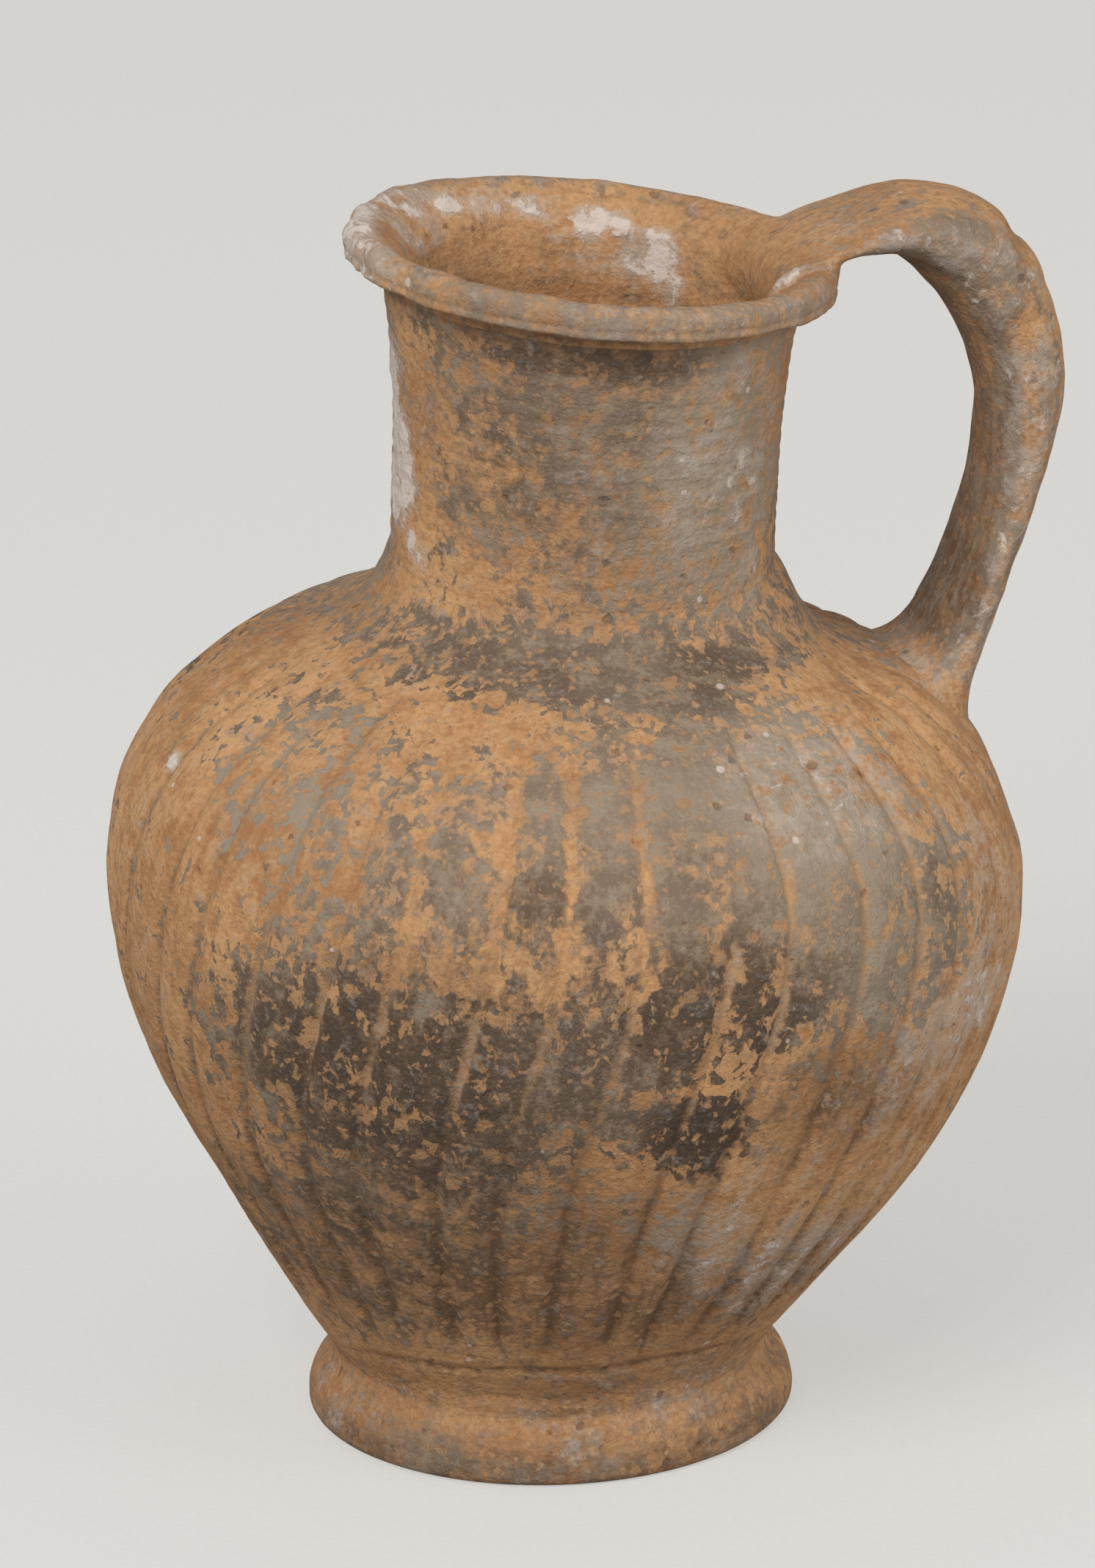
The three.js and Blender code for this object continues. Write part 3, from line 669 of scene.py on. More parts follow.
def neck_wear(facing, height):
    """The wear of the neck, which the hollow under it carries on."""
    wear = worn(
        facing, height, (0.52, 0.45, 0.3, 0.12, 0.0),
        slip=[
            (0.4, 8, 131.5, 54, 4.5), (-0.4, -50, 143, 34, 6), (-0.3, -62, 160, 14, 24),
            (0.3, 4, 178.5, 50, 3), (0.2, 20, 162, 34, 16), (-0.12, 62, 140, 16, 8)],
        soot=SHOULDER_SOOT + [(0.34, -2, 178.5, 46, 3), (-0.62, 48, 160, 28, 24), (0.1, -10, 160, 24, 16)],
        # The stain band at 181.5 mm, just under the lip, is painted shade under the lip's overhang.
        stain=[(0.2, -8, 162, 36, 16), (-0.15, -45, 143, 30, 6), (0.6, -8, 181.5, 80, 2.2)],
        lime=[
            (0.8, -84, 155, 22, 15), (0.55, -78, 153, 14, 9), (0.5, -86, 172, 15, 7),
            (0.5, -61, 143.5, 8, 2.5), (0.4, 46, 164, 24, 18), (0.12, 12, 160, 24, 12), (0.3, 60, 143, 16, 6),
            (0.35, 150, 160, 25, 12)])
    aslant = np.stack([0.4 * facing + 0.6 * height, 0.8 * height - 0.3 * facing, 0.2 * facing], axis=-1)
    wear[..., LIME] *= 0.95 + 0.8 * swell(aslant, 7, 3) + 0.7 * swell(aslant, 3, 1)
    wear[..., RUBBED] = 0.1 + 0.3 * ease(height, 134, 150)
    return wear


left_shoulder = patches(body_facing, body_z, [(1, -46, 115, 24, 14)])
body_worn = body_wear(body_turning.upright)
body_worn[..., SLIP] += 0.26 * groove_mask * left_shoulder
body_worn[..., SOOT] -= 0.3 * groove_mask * left_shoulder
body_worn = blend(body_worn, neck_wear(body_facing, body_z), ease(body_z, 127.5, neck_joint[1]))
body_worn = blend(body_worn, foot_wear(body_facing, body_z), smear)
# Painted shade: the stain darkens the undercut above the foot's smear, the grooves low on the belly, and the
# grooves on the left side, to give the flutes their shading.
body_worn[..., STAIN_AND_SHADE] += 0.55 * undercut + 0.36 * groove_mask * (1 - ease(body_z, 58, 88))
body_worn[..., STAIN_AND_SHADE] += 0.5 * groove_mask * patches(body_facing, body_z, [(1, -66, 90, 34, 36)])
panel_crest = ease(between_grooves, 0.12, 0.4) * (1 - ease(between_grooves, 0.5, 0.85)) * groove_fade
upper_belly = patches(body_facing, body_z, [(1, -2, 107, 36, 17)])
body_worn[..., SLIP] += (0.28 * panel_crest - 0.4 * groove_mask) * upper_belly
# Painted light: less stain on the panel crests low on the belly makes them lighter than the grooves beside
# them.
body_worn[..., STAIN_AND_SHADE] -= 0.1 * panel_crest * (1 - ease(body_z, 50, 78))
body_worn[..., LIME] += 0.4 * panel_crest * patches(body_facing, body_z, [(1, 42, 46, 26, 22)])
body_worn[..., LIME] += 0.4 * smear * patches(body_facing, body_z - smear_edge, [(1, 12, -0.6, 22, 0.7)])
body_worn = blend(body_worn, np.array([0.05, 0.4, 0.2, 0.2, 0.5]), body_turning.inside)
groove_bare = groove_mask * (0.3 + 0.7 * ease(body_z, 62, 92)) * (1 - left_shoulder)
body_wheel = ease(body_z, 108, 128) + body_turning.inside + smear
dress(body_turning, body_relief, body_worn, "body_wall", "body_worn_slip", "body", "worn_slip",
      groove=groove_bare, wheel=body_wheel, twist=flute_twist(body_z))

# Neck coil
# A thin coil pressed into the angle between shoulder and neck, and wiped hollow while the wheel turned.
# The dark slip has stayed longest in that hollow, broken by flecks of bare clay.

NECK_COIL_TOP = (29.62, 139.1)
neck_coil_turning = Turning([
    face(bezier(neck_joint, (33.2, 132.6), (30.0, 134.6), NECK_COIL_TOP), 0.45),
    joint([NECK_COIL_TOP, (28.0, 139.0), (29.0, 128.6), neck_joint]),
], columns=300)
neck_coil_relief = hand_relief(neck_coil_turning.upright)
neck_coil_relief += neck_set(neck_coil_turning.facing, neck_coil_turning.height)
neck_coil_worn = neck_wear(neck_coil_turning.facing, neck_coil_turning.height)
dress(neck_coil_turning, neck_coil_relief, neck_coil_worn,
      "neck_coil_band", "neck_coil_worn_slip", "neck_coil", "worn_slip", wheel=1.0)

# Neck
# A thrown cylinder of orange clay, slightly waisted, luted on to the shoulder.
# Fine wheel lines run round it. Slip is left on the front and right, and lime most of all on the left.

LIP_SEAT = (32.0, 181.4)
LIP_INSIDE = (27.7, 181.4)
neck_skin = bezier((29.8, 133.1), (29.2, 151.1), (29.2, 167.3), (32.0, 181.3), steps=80)
neck_skin = chain([NECK_COIL_TOP], neck_skin[(neck_skin[:, 1] > 139.6) & (neck_skin[:, 1] < 181)], [LIP_SEAT])
neck_bore = chain([LIP_INSIDE], (neck_skin - (LIP_SEAT[0] - LIP_INSIDE[0], 0))[-2::-1], [BORE_FOOT])
neck_turning = Turning([
    face(neck_skin, 0.6),
    joint([LIP_SEAT, LIP_INSIDE]),
    face(neck_bore, 0.9, inside=True),
    joint([BORE_FOOT, (28.5, 131.0), (28.9, 138.8), NECK_COIL_TOP]),
], columns=320)
neck_facing, neck_z = neck_turning.facing, neck_turning.height
neck_lines = 0.06 * np.sin(neck_z * 2.4 - neck_turning.angle + 2 * swell(neck_turning.upright, 14, 3))
neck_lines = neck_lines * ease(neck_z, 139.1, 143) * (1 - ease(neck_z, 177, 181))
neck_worn = neck_wear(neck_facing, neck_z)


def mouth_wear(facing, height):
    """The wear of the inside of the mouth: bare clay with soft lumps of lime below the rim."""
    wear = worn(
        facing, height, (-0.1, 0.4, 0.32, -0.1, 0.6),
        stain=[(0.25, 180, 160, 180, 14)],
        lime=[
            (0.8, -146, 186.5, 14, 2), (0.8, -164, 185.5, 13, 2.2), (0.8, 176, 184, 12, 2.6),
            (0.75, 160, 181, 9, 4), (0.6, 152, 175, 7, 5), (0.5, 170, 179, 26, 6), (0.7, -112, 185, 20, 4),
            (0.85, 83, 185, 3.5, 8), (0.7, -128, 187, 12, 1.8)])
    wear[..., LIME] *= 1.0 + 0.9 * swell(np.stack([facing / 2, height, 0 * height], axis=-1), 4, 5)
    return wear


lime_lumps = neck_worn[..., LIME] * (1 - neck_turning.inside)
neck_worn = blend(neck_worn, mouth_wear(neck_facing, neck_z), neck_turning.inside)
neck_relief = hand_relief(neck_turning.upright) + neck_lines
neck_relief += neck_set(neck_facing, neck_z) * (1 - neck_turning.inside)
neck_relief += 0.35 * np.clip(lime_lumps - 0.35, 0, 1) * (0.6 + swell(neck_turning.upright, 3, 8))
neck_rills = 0.25 * np.cos(neck_z * 0.9 - neck_turning.angle) * (1 - ease(neck_z, 174, 181))
neck_relief += neck_turning.inside * neck_rills
neck_hidden = ease(np.abs(neck_facing), 82, 112) * (1 - neck_turning.inside)
neck_away = neck_worn + swell(neck_turning.upright, 18, 6)[..., None] * np.array([0.5, 0.3, 0.3, 0.3, 0])
dress(neck_turning, neck_relief, blend(neck_worn, neck_away, neck_hidden),
      "neck_wall", "neck_worn_slip", "neck", "worn_slip", wheel=1.0)

# Lip
# The rim, turned out over the neck and dished inwards between wet fingers, with a fine ridge below.
# It is lumpy and limed on the side away from the handle.

LIP_RIDGE = 184.4
LIP_RIDGE_RISE = 0.28
LIP_GROOVE_DEPTH = 0.16  # of the line above the ridge
LIP_LINE_HALF = 0.4
lip_outside = chain(
    bezier(LIP_SEAT, (32.5, 183.2), (35.0, 183.7)),
    bezier((35.0, 183.7), (37.2, 183.9), (37.3, 185.0)),
    bezier((37.3, 185.0), (37.5, 187.2), (37.0, 188.0)),
    bezier((37.0, 188.0), (36.4, 189.0), (35.2, 189.0)),
    bezier((35.2, 189.0), (33.8, 189.0), (32.0, 187.5)),
    bezier((32.0, 187.5), (29.2, 185.2), (28.5, 183.8)),
    bezier((28.5, 183.8), (27.9, 182.6), LIP_INSIDE),
)
lip_turning = Turning([
    face(lip_outside, 0.32),
    joint([LIP_INSIDE, LIP_SEAT]),
], columns=360)


def lip_wear(facing, height, radius):
    """The wear of the lip, from its outer edge over the crest into the mouth."""
    rim = worn(
        facing, height, (0.44, 0.4, 0.34, 0.3, 0.7),
        slip=[
            (-0.25, -80, 186, 35, 8), (0.16, -18, 185, 26, 5), (0.1, 35, 185, 18, 5),
            (-0.25, 106, 187, 40, 8)],
        stain=[(0.15, -10, 185, 30, 4), (-0.12, 106, 187, 40, 8)],
        lime=[(0.5, -78, 187, 24, 5), (0.5, -104, 187, 24, 5), (0.1, 55, 186, 30, 5), (0.1, 20, 188, 30, 2)])
    rim = blend(neck_wear(facing, height), rim, ease(height, 181.4, 184.5))
    return blend(rim, mouth_wear(facing, height), 1 - ease(radius, 30.0, 35.5))


lip_facing, lip_z, lip_r = lip_turning.facing, lip_turning.height, lip_turning.radius
lip_worn = lip_wear(lip_facing, lip_z, lip_r)
lip_free = ease(lip_z, 181.4, 183.5)
lip_crust = np.clip(lip_worn[..., LIME] - 0.3, 0, 1)
lip_relief = hand_relief(lip_turning.upright)
lip_relief += lip_free * (0.3 + 1.0 * lip_crust) * swell(lip_turning.upright, 5.5, 2)
lip_relief += lip_free * (0.08 + 0.5 * lip_crust) * swell(lip_turning.upright, 2.1, 6)
lip_side = ease(lip_r, 34.5, 36.5)
lip_relief += LIP_RIDGE_RISE * np.exp(-((lip_z - LIP_RIDGE) / LIP_LINE_HALF) ** 2) * lip_side
lip_relief -= LIP_GROOVE_DEPTH * np.exp(-((lip_z - LIP_RIDGE - 1.0) / LIP_LINE_HALF) ** 2) * lip_side
dress(lip_turning, lip_relief, lip_worn, "lip_rim", "lip_limed_clay", "lip", "limed_clay", wheel=0.8)

# Handle
# A strap pulled from a lump of clay, with rounded edges, thumbed down over the lip and into the mouth.
# It is bare orange clay on top, crusted grey with lime on the side that lay in the soil.

STRAP_WIDTH = 20.0
LAP_WIDTH = 26.0
ROOT_WIDTH = 24.0
ROOT_THICKNESS = 9.6
ROOT_HEIGHT = 116.0
ROOT_LEAN = np.array([math.sin(math.radians(28)), math.cos(math.radians(28))])
ROOT_SINK = 2.5  # how far the strap's end lies inside the wall
ARCH = (12.1, 2.5)  # of the strap's highest point from the lip's crest, outwards and up
BOW = (33.6, -26.9)  # of its outermost point
STRAP_SIDES = 72
STRAP_STEP = 0.8
STRAP_SQUARENESS = 2.25  # 2 is an oval, and more is squarer
LAP_TURN = math.radians(38)  # how far the thumbed clay reaches round the lip to either side
LAP_COLUMNS = 57
LAP_RISE = 2.6
LAP_SINK = 2.2  # how far it is worked into the lip
LAP_EDGE = math.radians(-23)  # where its front edge stands up as a ridge inside the mouth
LAP_EDGE_WIDTH = 0.045  # in radians
LAP_EDGE_RISE = 1.2
LAP_EDGE_STEP = 1.2  # how far the clay drops before that edge
LAP_MARGIN = 0.3  # how far its thin rim lies under the lip's skin
CLAY_VOXEL = 0.55


def in_plane(radius, height):
    """A point of the handle's own plane, in the settled jug."""
    return settle((radius, 0.0, height))[[0, 2]]


root_radius = np.interp(ROOT_HEIGHT, upper_wall[:, 1], upper_wall[:, 0])
root = in_plane(root_radius - 0.4, ROOT_HEIGHT)
crest = in_plane(34.8, MOUTH)
arch = crest + ARCH
bow = crest + BOW
strap_line = even(chain(
    bezier(in_plane(30.5, 186.6), crest + (0, 1.2), arch - (7, 0), arch),
    bezier(arch, arch + (12.1, 0), bow + (0, 15.8), bow),
    bezier(bow, bow - (0, 10.1), root + 16.0 * ROOT_LEAN, root),
    [root, root - ROOT_SINK * ROOT_LEAN],
), STRAP_STEP)
strap_run = lengths(strap_line)
to_arch, to_bow, to_root = (
    strap_run[np.argmin(np.linalg.norm(strap_line - spot, axis=1))] for spot in (arch, bow, root))
strap_ahead = np.gradient(strap_line, axis=0)
strap_ahead /= np.linalg.norm(strap_ahead, axis=1)[:, None]
# Distances along the strap with its thickness there
THICKNESS = [
    (0, 3.0), (to_arch - 10, 5.2), (to_arch - 3, 4.8), (to_arch + 4, 13.2), ((to_arch + to_bow) / 2, 15.6),
    (to_bow, 13.2), ((to_bow + to_root) / 2, 7.4), (to_root, ROOT_THICKNESS)]
THICKNESS_WIPE = 9  # steps of the strap over which these run into one another


def strap_size(run):
    """Full width and thickness of the strap at a distance along it."""
    width = LAP_WIDTH + (STRAP_WIDTH - LAP_WIDTH) * ease(run, 0, to_bow)
    width = width + (ROOT_WIDTH - width) * ease(run, to_bow, to_root)
    level = np.interp(strap_run, *zip(*THICKNESS))
    padded = np.pad(level, THICKNESS_WIPE, mode="edge")
    wiped = np.convolve(padded, np.full(2 * THICKNESS_WIPE + 1, 1 / (2 * THICKNESS_WIPE + 1)), mode="valid")
    return width, np.interp(run, strap_run, wiped)


def strap_points(run, side, out, margin=0.0):
    """Points at a distance along the strap, where side and out go from -1 to 1 across its section."""
    width, thickness = strap_size(run)
    x, z = (np.interp(run, strap_run, column) for column in strap_line.T)
    ahead_x, ahead_z = (np.interp(run, strap_run, column) for column in strap_ahead.T)
    lift = (thickness / 2 + margin) * out
    return np.stack([x - ahead_z * lift, (width / 2 + margin) * side + 0 * x, z + ahead_x * lift], axis=-1)


def section_round(count):
    """The strap's section: its side and out shares all the way round."""
    turn = np.linspace(0, 2 * math.pi, count, endpoint=False)
    power = 2 / STRAP_SQUARENESS
    side = np.sign(np.cos(turn)) * np.abs(np.cos(turn)) ** power
    out = np.sign(np.sin(turn)) * np.abs(np.sin(turn)) ** power
    return side, out


def tube(rings, looped=False):
    """Points and faces of a tube through rings of points, closed at its ends or looped into itself."""
    rows, columns = rings.shape[:2]
    faces = []
    for i in range(rows if looped else rows - 1):
        ring, after = i * columns, (i + 1) % rows * columns
        for j in range(columns):
            right = (j + 1) % columns
            faces.append((ring + j, ring + right, after + right, after + j))
    if not looped:
        faces.append(tuple(reversed(range(columns))))
        faces.append(tuple(range((rows - 1) * columns, rows * columns)))
    return rings.reshape(-1, 3), faces


strap_side, strap_out = section_round(STRAP_SIDES)
strap_corners, strap_faces = tube(
    strap_points(strap_run[:, None], strap_side[None, :], strap_out[None, :]))

# The thumbed clay follows the lip from its outer edge into the mouth and thins out to the sides
lap_skin = face(chain(lip_outside[lip_outside[:, 1] > 184.6], [LIP_INSIDE, (27.4, 176.0)]), 0.7)
lap_turns = np.linspace(-LAP_TURN, LAP_TURN, LAP_COLUMNS)[:, None]
lap_along = np.linspace(0, 1, len(lap_skin))[None, :]
lap_crown = np.cos(lap_turns / LAP_TURN * math.pi / 2) ** 2 * np.sin(lap_along * math.pi) ** 0.7
lap_in_mouth = ease(lap_along, 0.3, 0.45)
lap_rise = LAP_RISE * lap_crown - LAP_MARGIN
lap_rise += LAP_EDGE_RISE * np.exp(-((lap_turns - LAP_EDGE) / LAP_EDGE_WIDTH) ** 2) * lap_in_mouth
lap_before_edge = 1 - ease(lap_turns, LAP_EDGE - 2 * LAP_EDGE_WIDTH, LAP_EDGE - 0.02)
lap_rise -= LAP_EDGE_STEP * lap_before_edge * lap_in_mouth


def lap_shell(away):
    """Points at a distance outside the lip's own skin."""
    radius, height = lap_skin[:, 0] + away * lap_skin[:, 2], lap_skin[:, 1] + away * lap_skin[:, 3]
    return np.stack([radius * np.cos(lap_turns), radius * np.sin(lap_turns), height], axis=-1)


lap_rings = np.concatenate([lap_shell(lap_rise), lap_shell(0 * lap_rise - LAP_SINK)[:, ::-1]], axis=1)
lap_corners, lap_faces = tube(settle(lap_rings))

handle_rough = built(
    "handle_rough", np.vstack([strap_corners, lap_corners]),
    [f[::-1] for f in strap_faces] + [tuple(len(strap_corners) + k for k in f) for f in lap_faces])
handle_form = bpy.data.objects.new("handle_form", handle_rough)
bpy.context.collection.objects.link(handle_form)
welding = handle_form.modifiers.new("welding", "REMESH")
welding.mode = "VOXEL"
welding.voxel_size = CLAY_VOXEL * MM
wiping = handle_form.modifiers.new("wiping", "SMOOTH")
wiping.factor = 0.5
wiping.iterations = 16
handle_wiped = handle_form.evaluated_get(bpy.context.evaluated_depsgraph_get())
handle_mesh = bpy.data.meshes.new_from_object(handle_wiped)
bpy.data.objects.remove(handle_form)


def points_of(mesh):
    """A mesh's points in millimetres, and the normals at them."""
    places = np.zeros(len(mesh.vertices) * 3, np.float32)
    normals = np.zeros(len(mesh.vertices) * 3, np.float32)
    mesh.vertices.foreach_get("co", places)
    mesh.vertices.foreach_get("normal", normals)
    return places.reshape(-1, 3).astype(float) / MM, normals.reshape(-1, 3).astype(float)


def push(mesh, points, normals, relief):
    """Moves a mesh's points along their normals by a relief in millimetres."""
    mesh.vertices.foreach_set("co", ((points + relief[:, None] * normals) * MM).astype(np.float32).ravel())
    mesh.update()
    mesh.shade_smooth()


def unsettle(points):
    """About where points of the settled jug lay on the upright form."""
    x, y, z = np.moveaxis(points, -1, 0)
    height = z + sag(x - slide(z), y, z)
    return np.stack([x - slide(height), y, height], axis=-1)


def along_strap(points):
    """How far along the strap each point lies, how far out of its middle line, and which step is nearest."""
    gaps = np.linalg.norm(points[:, None, [0, 2]] - strap_line[None, ::2], axis=2)
    nearest = gaps.argmin(axis=1) * 2
    away = points[:, [0, 2]] - strap_line[nearest]
    out = away[:, 1] * strap_ahead[nearest, 0] - away[:, 0] * strap_ahead[nearest, 1]
    return strap_run[nearest], out, nearest


def spots(points, marks):
    """Soft round patches on the handle. Each has a strength, its x and z, and its reach."""
    total = np.zeros(len(points))
    for strength, x, z, reach in marks:
        gap = np.hypot(points[:, 0] - x, points[:, 2] - z) / reach
        total += strength * np.exp(-gap ** 4)
    return total


def strap_wear(points, normals):
    """The wear of the strap: bare on its outer face, limed on its front side, with painted shade on its inner
    face, and darker at the root.
    Where it runs into lip and shoulder it wears as they do."""
    run, _, nearest = along_strap(points)
    ahead = strap_ahead[nearest]
    out = normals[:, 2] * ahead[:, 0] - normals[:, 0] * ahead[:, 1]
    front = ease(-normals[:, 1], 0.3, 0.75)
    outer_face, inner_face = ease(out, 0.3, 0.8), ease(-out, 0.25, 0.75)
    patchy = swell(points, 9, 4)
    dark_root = spots(points, [(1, 63, 127, 5.5), (0.9, 65.4, 134, 4)])
    # The slip and stain on the strap's inner face, the side toward the jug, are painted shade.
    slip = 0.14 + 0.34 * front + 0.36 * inner_face + front * spots(
        points, [(0.3, 66, 184, 9), (0.2, 71, 166, 6), (-0.3, 76, 168, 6)])
    stain = 0.08 + 0.25 * front + 0.55 * inner_face + 0.15 * spots(points, [(1, 60, 190, 9)])
    lime = 0.1 + front * (0.5 + 0.35 * patchy) + front * spots(
        points, [(0.14, 72, 163, 8), (0.14, 72, 148, 14), (-0.35, 76, 170, 5), (-0.2, 64, 186, 8)])
    lime = np.minimum(lime, 0.58) * (1 - dark_root) - 0.06 * outer_face
    wear = np.stack([slip, 0.4 + 0.2 * front, stain, lime, 0.6 + 0 * slip], axis=-1)
    upright = unsettle(points)
    radius = np.hypot(upright[:, 0], upright[:, 1])
    facing = turn_from_camera(np.arctan2(upright[:, 1], upright[:, 0]))
    wear = blend(wear, lip_wear(facing, upright[:, 2], radius), 1 - ease(radius, 35, 46))
    wear = blend(wear, body_wear(upright), ease(run, to_root - 9, to_root + 1))
    wear[:, STAIN_AND_SHADE] += 0.9 * dark_root
    bloom = spots(points, [(1, 57, 123, 3.2), (0.8, 58.6, 120.3, 2.6)])
    wear[:, LIME] += 0.8 * bloom * ease(-normals[:, 1], -0.2, 0.4)
    return wear


handle_points, handle_normals = points_of(handle_mesh)
handle_run, _, _ = along_strap(handle_points)
handle_worn = strap_wear(handle_points, handle_normals)
pitted = ease(-handle_normals[:, 1], 0.3, 0.75) * ease(handle_run, to_arch - 6, to_arch + 6)
free_strap = ease(handle_run, to_arch - 10, to_arch)
handle_relief = hand_relief(handle_points)
handle_relief += free_strap * (0.3 * swell(handle_points, 13, 2) + 0.22 * swell(handle_points, 5, 5))
handle_relief += pitted * 0.55 * np.minimum(swell(handle_points, 3.4, 3), 0.1)
handle_relief += pitted * 0.14 * swell(handle_points, 1.5, 8)
handle_relief += spots(handle_points, [
    (0.35, 75.2, 188.4, 3.2), (-0.35, 78.2, 183.4, 2.0), (0.4, 81.6, 180.2, 3.0)])
push(handle_mesh, handle_points, handle_normals, handle_relief)


def wear_handmade(mesh, points, wear):
    """Gives a mesh that was not turned its grain, which follows the strap, and its wear."""
    run, out, _ = along_strap(points)
    store(mesh, "grain", np.stack([points[:, 1], out, run], axis=-1))
    for name in ("groove", "wheel"):
        store(mesh, name, 0 * run)
    for column, name in enumerate(WEAR):
        store(mesh, name, np.clip(wear[:, column], *WEAR_LIMITS))


wear_handmade(handle_mesh, handle_points, handle_worn)
handle_mesh.name = "handle_clay"
stand_in("handle_strap", handle_mesh, fired_clay("handle_bare_clay"), "handle")

# Handle coil
# A soft coil laid round the strap's lower end and wiped out to a thin edge on the shoulder and up the strap.
# It keeps a pale bloom of lime in its hollow.

COLLAR_RISE = 9.0
COLLAR_SPREAD = 5.0
COLLAR_COLUMNS = 168
COLLAR_ROWS = 22
STRAP_ON_WALL = 5.0  # along the wall, from the strap's middle to its outer and inner face
STRAP_SLANT = 1.5  # along the strap, between its middle and its faces where they meet the wall

collar_side, collar_out = section_round(COLLAR_COLUMNS)
wall_run = lengths(upper_wall)
root_on_wall = np.interp(ROOT_HEIGHT, upper_wall[:, 1], wall_run)


def on_strap(before, margin):
    """Points round the strap at a distance before its end."""
    return strap_points(to_root - before + STRAP_SLANT * collar_out, collar_side, collar_out, margin)


def on_wall(spread, sink):
    """Points on the shoulder round the strap's end, sunk a little under its surface."""
    place = root_on_wall - collar_out * (STRAP_ON_WALL + spread)
    radius, height = (np.interp(place, wall_run, column) for column in upper_wall.T)
    turn = collar_side * (ROOT_WIDTH / 2 + spread) / radius
    sunk = sink - 0.75 * neck_set(turn_from_camera(turn), height)
    inward = radius - sunk
    return settle(np.stack([inward * np.cos(turn), inward * np.sin(turn), height - sunk], axis=-1))


collar_share = np.linspace(0, 1, COLLAR_ROWS)[:, None, None]
collar_rings = ((1 - collar_share) ** 2 * on_strap(COLLAR_RISE, -0.05)
                + 2 * collar_share * (1 - collar_share) * on_strap(0.8, 0.3)
                + collar_share ** 2 * on_wall(COLLAR_SPREAD, 0.75))
collar_rings = np.concatenate([collar_rings, np.stack([
    on_wall(COLLAR_SPREAD - 1.5, 1.6), on_wall(-1.5, 1.6), on_strap(2, -1.5), on_strap(COLLAR_RISE, -0.8)])])
collar_mesh = built("handle_coil_clay", *tube(collar_rings, looped=True))
collar_points, collar_normals = points_of(collar_mesh)
collar_visible = np.repeat(np.arange(len(collar_rings)) < COLLAR_ROWS, COLLAR_COLUMNS)
push(collar_mesh, collar_points, collar_normals, collar_visible * (
    hand_relief(collar_points) + 0.12 * swell(collar_points, 3.4, 5)))
collar_worn = strap_wear(collar_points, collar_normals)
collar_worn[:, LIME] += 0.12
wear_handmade(collar_mesh, collar_points, collar_worn)
stand_in("handle_coil_collar", collar_mesh, fired_clay("handle_coil_limed_clay"), "handle_coil")

# Floor
# A wide pale sheet that the jug stands on, with a faint tooth like heavy paper.
# To the camera it looks as pale as it is. The jug sees it darker, as a cloth that throws little light back.

FLOOR_REACH = 20.0
FLOOR_GLOW = 0.62  # how much of what the camera sees of the floor is even, without shade
floor_mesh = bpy.data.meshes.new("floor_sheet")
floor_mesh.from_pydata([(x, y, 0.0) for x, y in (
    (-FLOOR_REACH, -FLOOR_REACH), (FLOOR_REACH, -FLOOR_REACH),
    (FLOOR_REACH, FLOOR_REACH), (-FLOOR_REACH, FLOOR_REACH))], [], [(0, 1, 2, 3)])
floor = bpy.data.objects.new("floor", floor_mesh)
bpy.context.collection.objects.link(floor)
floor_paper = bpy.data.materials.new("floor_paper")
floor_paper.use_nodes = True
floor_tree = floor_paper.node_tree
floor_place = Wire(floor_tree.nodes.new("ShaderNodeTexCoord").outputs["Object"])
floor_tooth = floor_place.node(
    "ShaderNodeTexNoise", {}, {"Vector": floor_place, "Scale": 900.0, "Detail": 3.0})
camera_ray = floor_place.node("ShaderNodeLightPath")
floor_seen = floor_tooth.tint(screen(222, 220, 216), screen(230, 228, 224))
floor_colour = camera_ray.tint(screen(150, 148, 146), floor_seen)
floor_shader = floor_tree.nodes["Principled BSDF"]
floor_shader.inputs["Roughness"].default_value = 0.9
floor_tree.links.new(floor_colour.socket, floor_shader.inputs["Base Color"])
floor_even = floor_place.node("ShaderNodeEmission", {}, {"Color": floor_seen, "Strength": 1.0})
floor_mix = floor_place.node("ShaderNodeMixShader", {}, {
    0: camera_ray * FLOOR_GLOW, 1: Wire(floor_shader.outputs[0]), 2: floor_even})
floor_tree.links.new(floor_mix.socket, floor_tree.nodes["Material Output"].inputs["Surface"])
floor_mesh.materials.append(floor_paper)

# Light
# A large soft lamp high on the left and in front, a weaker one from the right, and an even pale room.
# The lamps stand far enough off to light the floor all round the jug.

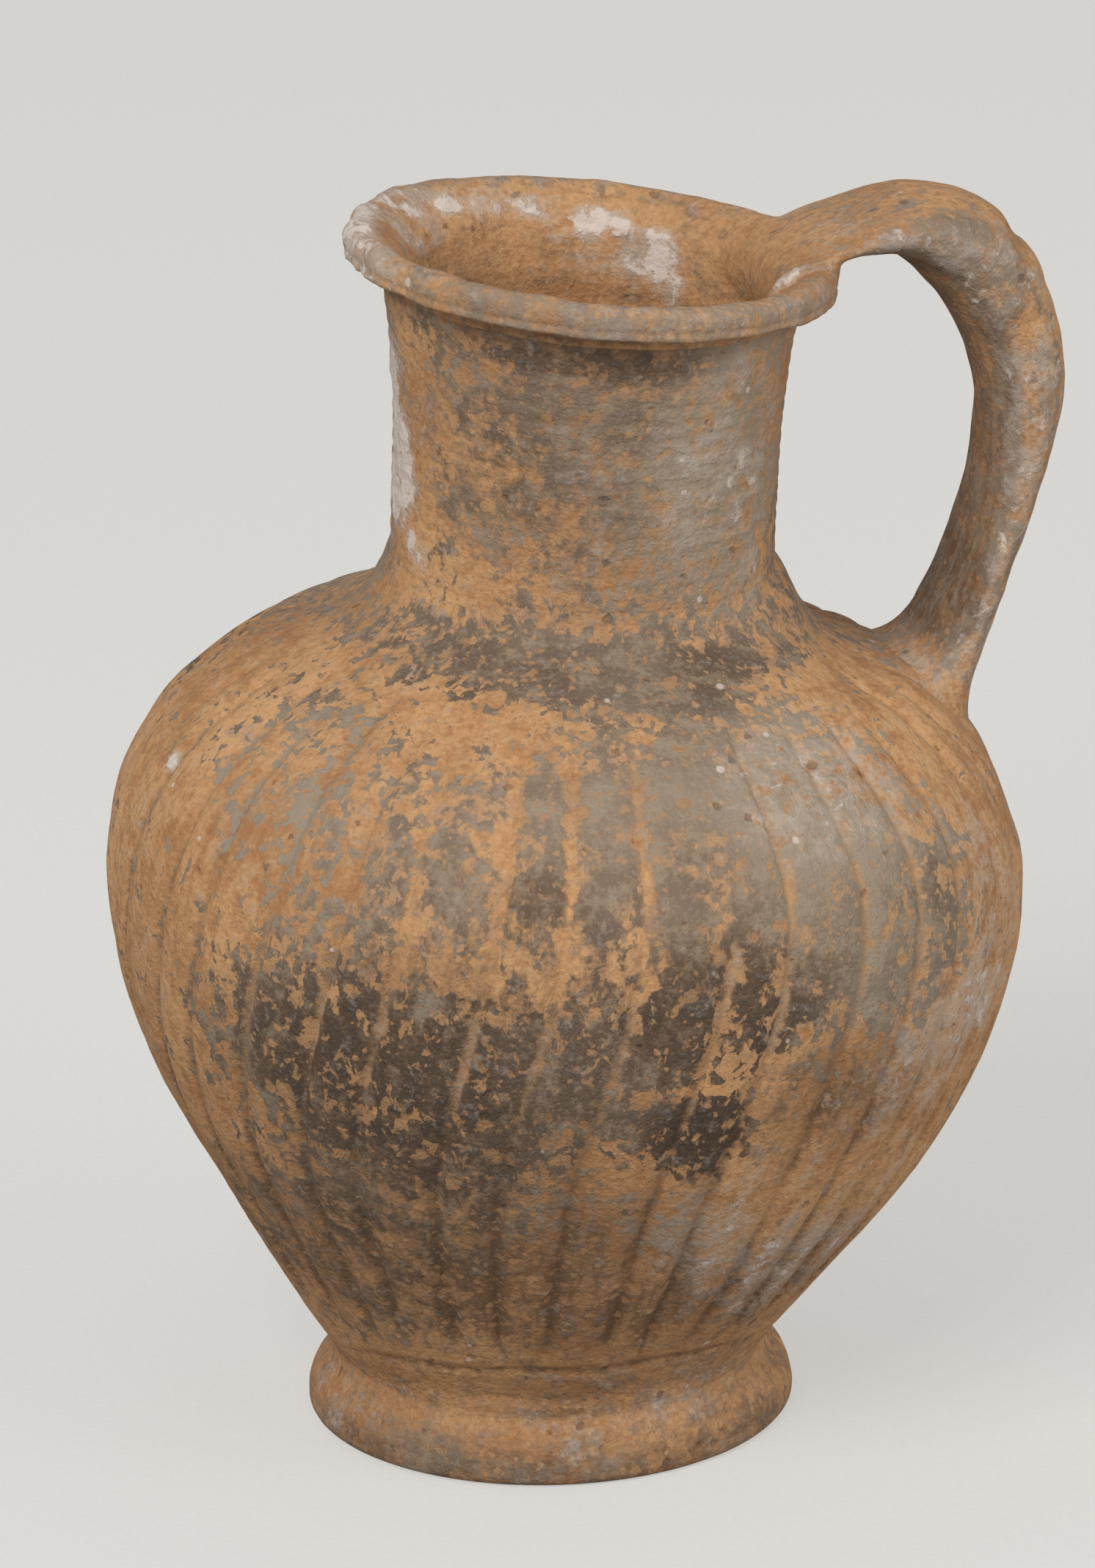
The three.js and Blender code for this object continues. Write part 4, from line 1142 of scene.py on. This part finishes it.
LAMPS = [
    ("left_window", (-1.2, -1.2, 1.46), 1.28, 30.5),
    ("right_card", (1.36, -1.36, 0.74), 1.44, 14.1),
]
for lamp_name, lamp_place, lamp_size, lamp_power in LAMPS:
    lamp = bpy.data.lights.new(lamp_name, "AREA")
    lamp.shape = "DISK"
    lamp.size = lamp_size
    lamp.energy = lamp_power
    lamp_object = bpy.data.objects.new(lamp_name, lamp)
    lamp_object.location = lamp_place
    aim = Vector((0, 0, 0.1)) - lamp_object.location
    lamp_object.rotation_euler = aim.to_track_quat("-Z", "Y").to_euler()
    bpy.context.collection.objects.link(lamp_object)
world = bpy.data.worlds.new("pale_room")
bpy.context.scene.world = world
world.use_nodes = True
world.node_tree.nodes["Background"].inputs["Color"].default_value = screen(236, 236, 238)
world.node_tree.nodes["Background"].inputs["Strength"].default_value = 0.5
bpy.context.scene.view_settings.view_transform = "Standard"

# Camera
# It looks a little down on the jug from its front left, through a long lens, and hangs slightly off level.
# Its place and lens are set so that foot, lip and handle lie in the picture where they should.

CAMERA_TURN = math.radians(-16)
CAMERA_RISE = math.radians(19.5)
CAMERA_ROLL = math.radians(-1.3)
CAMERA_AWAY = 1.5
CAMERA_AIM = 0.095  # height on the jug's axis that the view is set by
AIM_RIGHT, AIM_UP = 0.00158, 0.00686  # of the picture's middle from that point
back = Vector((math.sin(CAMERA_TURN) * math.cos(CAMERA_RISE), -math.cos(CAMERA_TURN) * math.cos(CAMERA_RISE),
               math.sin(CAMERA_RISE)))
right = Vector((math.cos(CAMERA_TURN), math.sin(CAMERA_TURN), 0))
up = back.cross(right)
camera_data = bpy.data.cameras.new("camera")
camera_data.sensor_fit = "VERTICAL"
camera_data.sensor_height = 36.0
camera_data.lens = 221.6
camera = bpy.data.objects.new("camera", camera_data)
middle = Vector((0, 0, CAMERA_AIM)) + AIM_RIGHT * right + AIM_UP * up
turned_axes = Matrix((right, up, back)).transposed().to_4x4() @ Matrix.Rotation(CAMERA_ROLL, 4, "Z")
camera.matrix_world = Matrix.Translation(middle + CAMERA_AWAY * back) @ turned_axes
bpy.context.collection.objects.link(camera)
bpy.context.scene.camera = camera
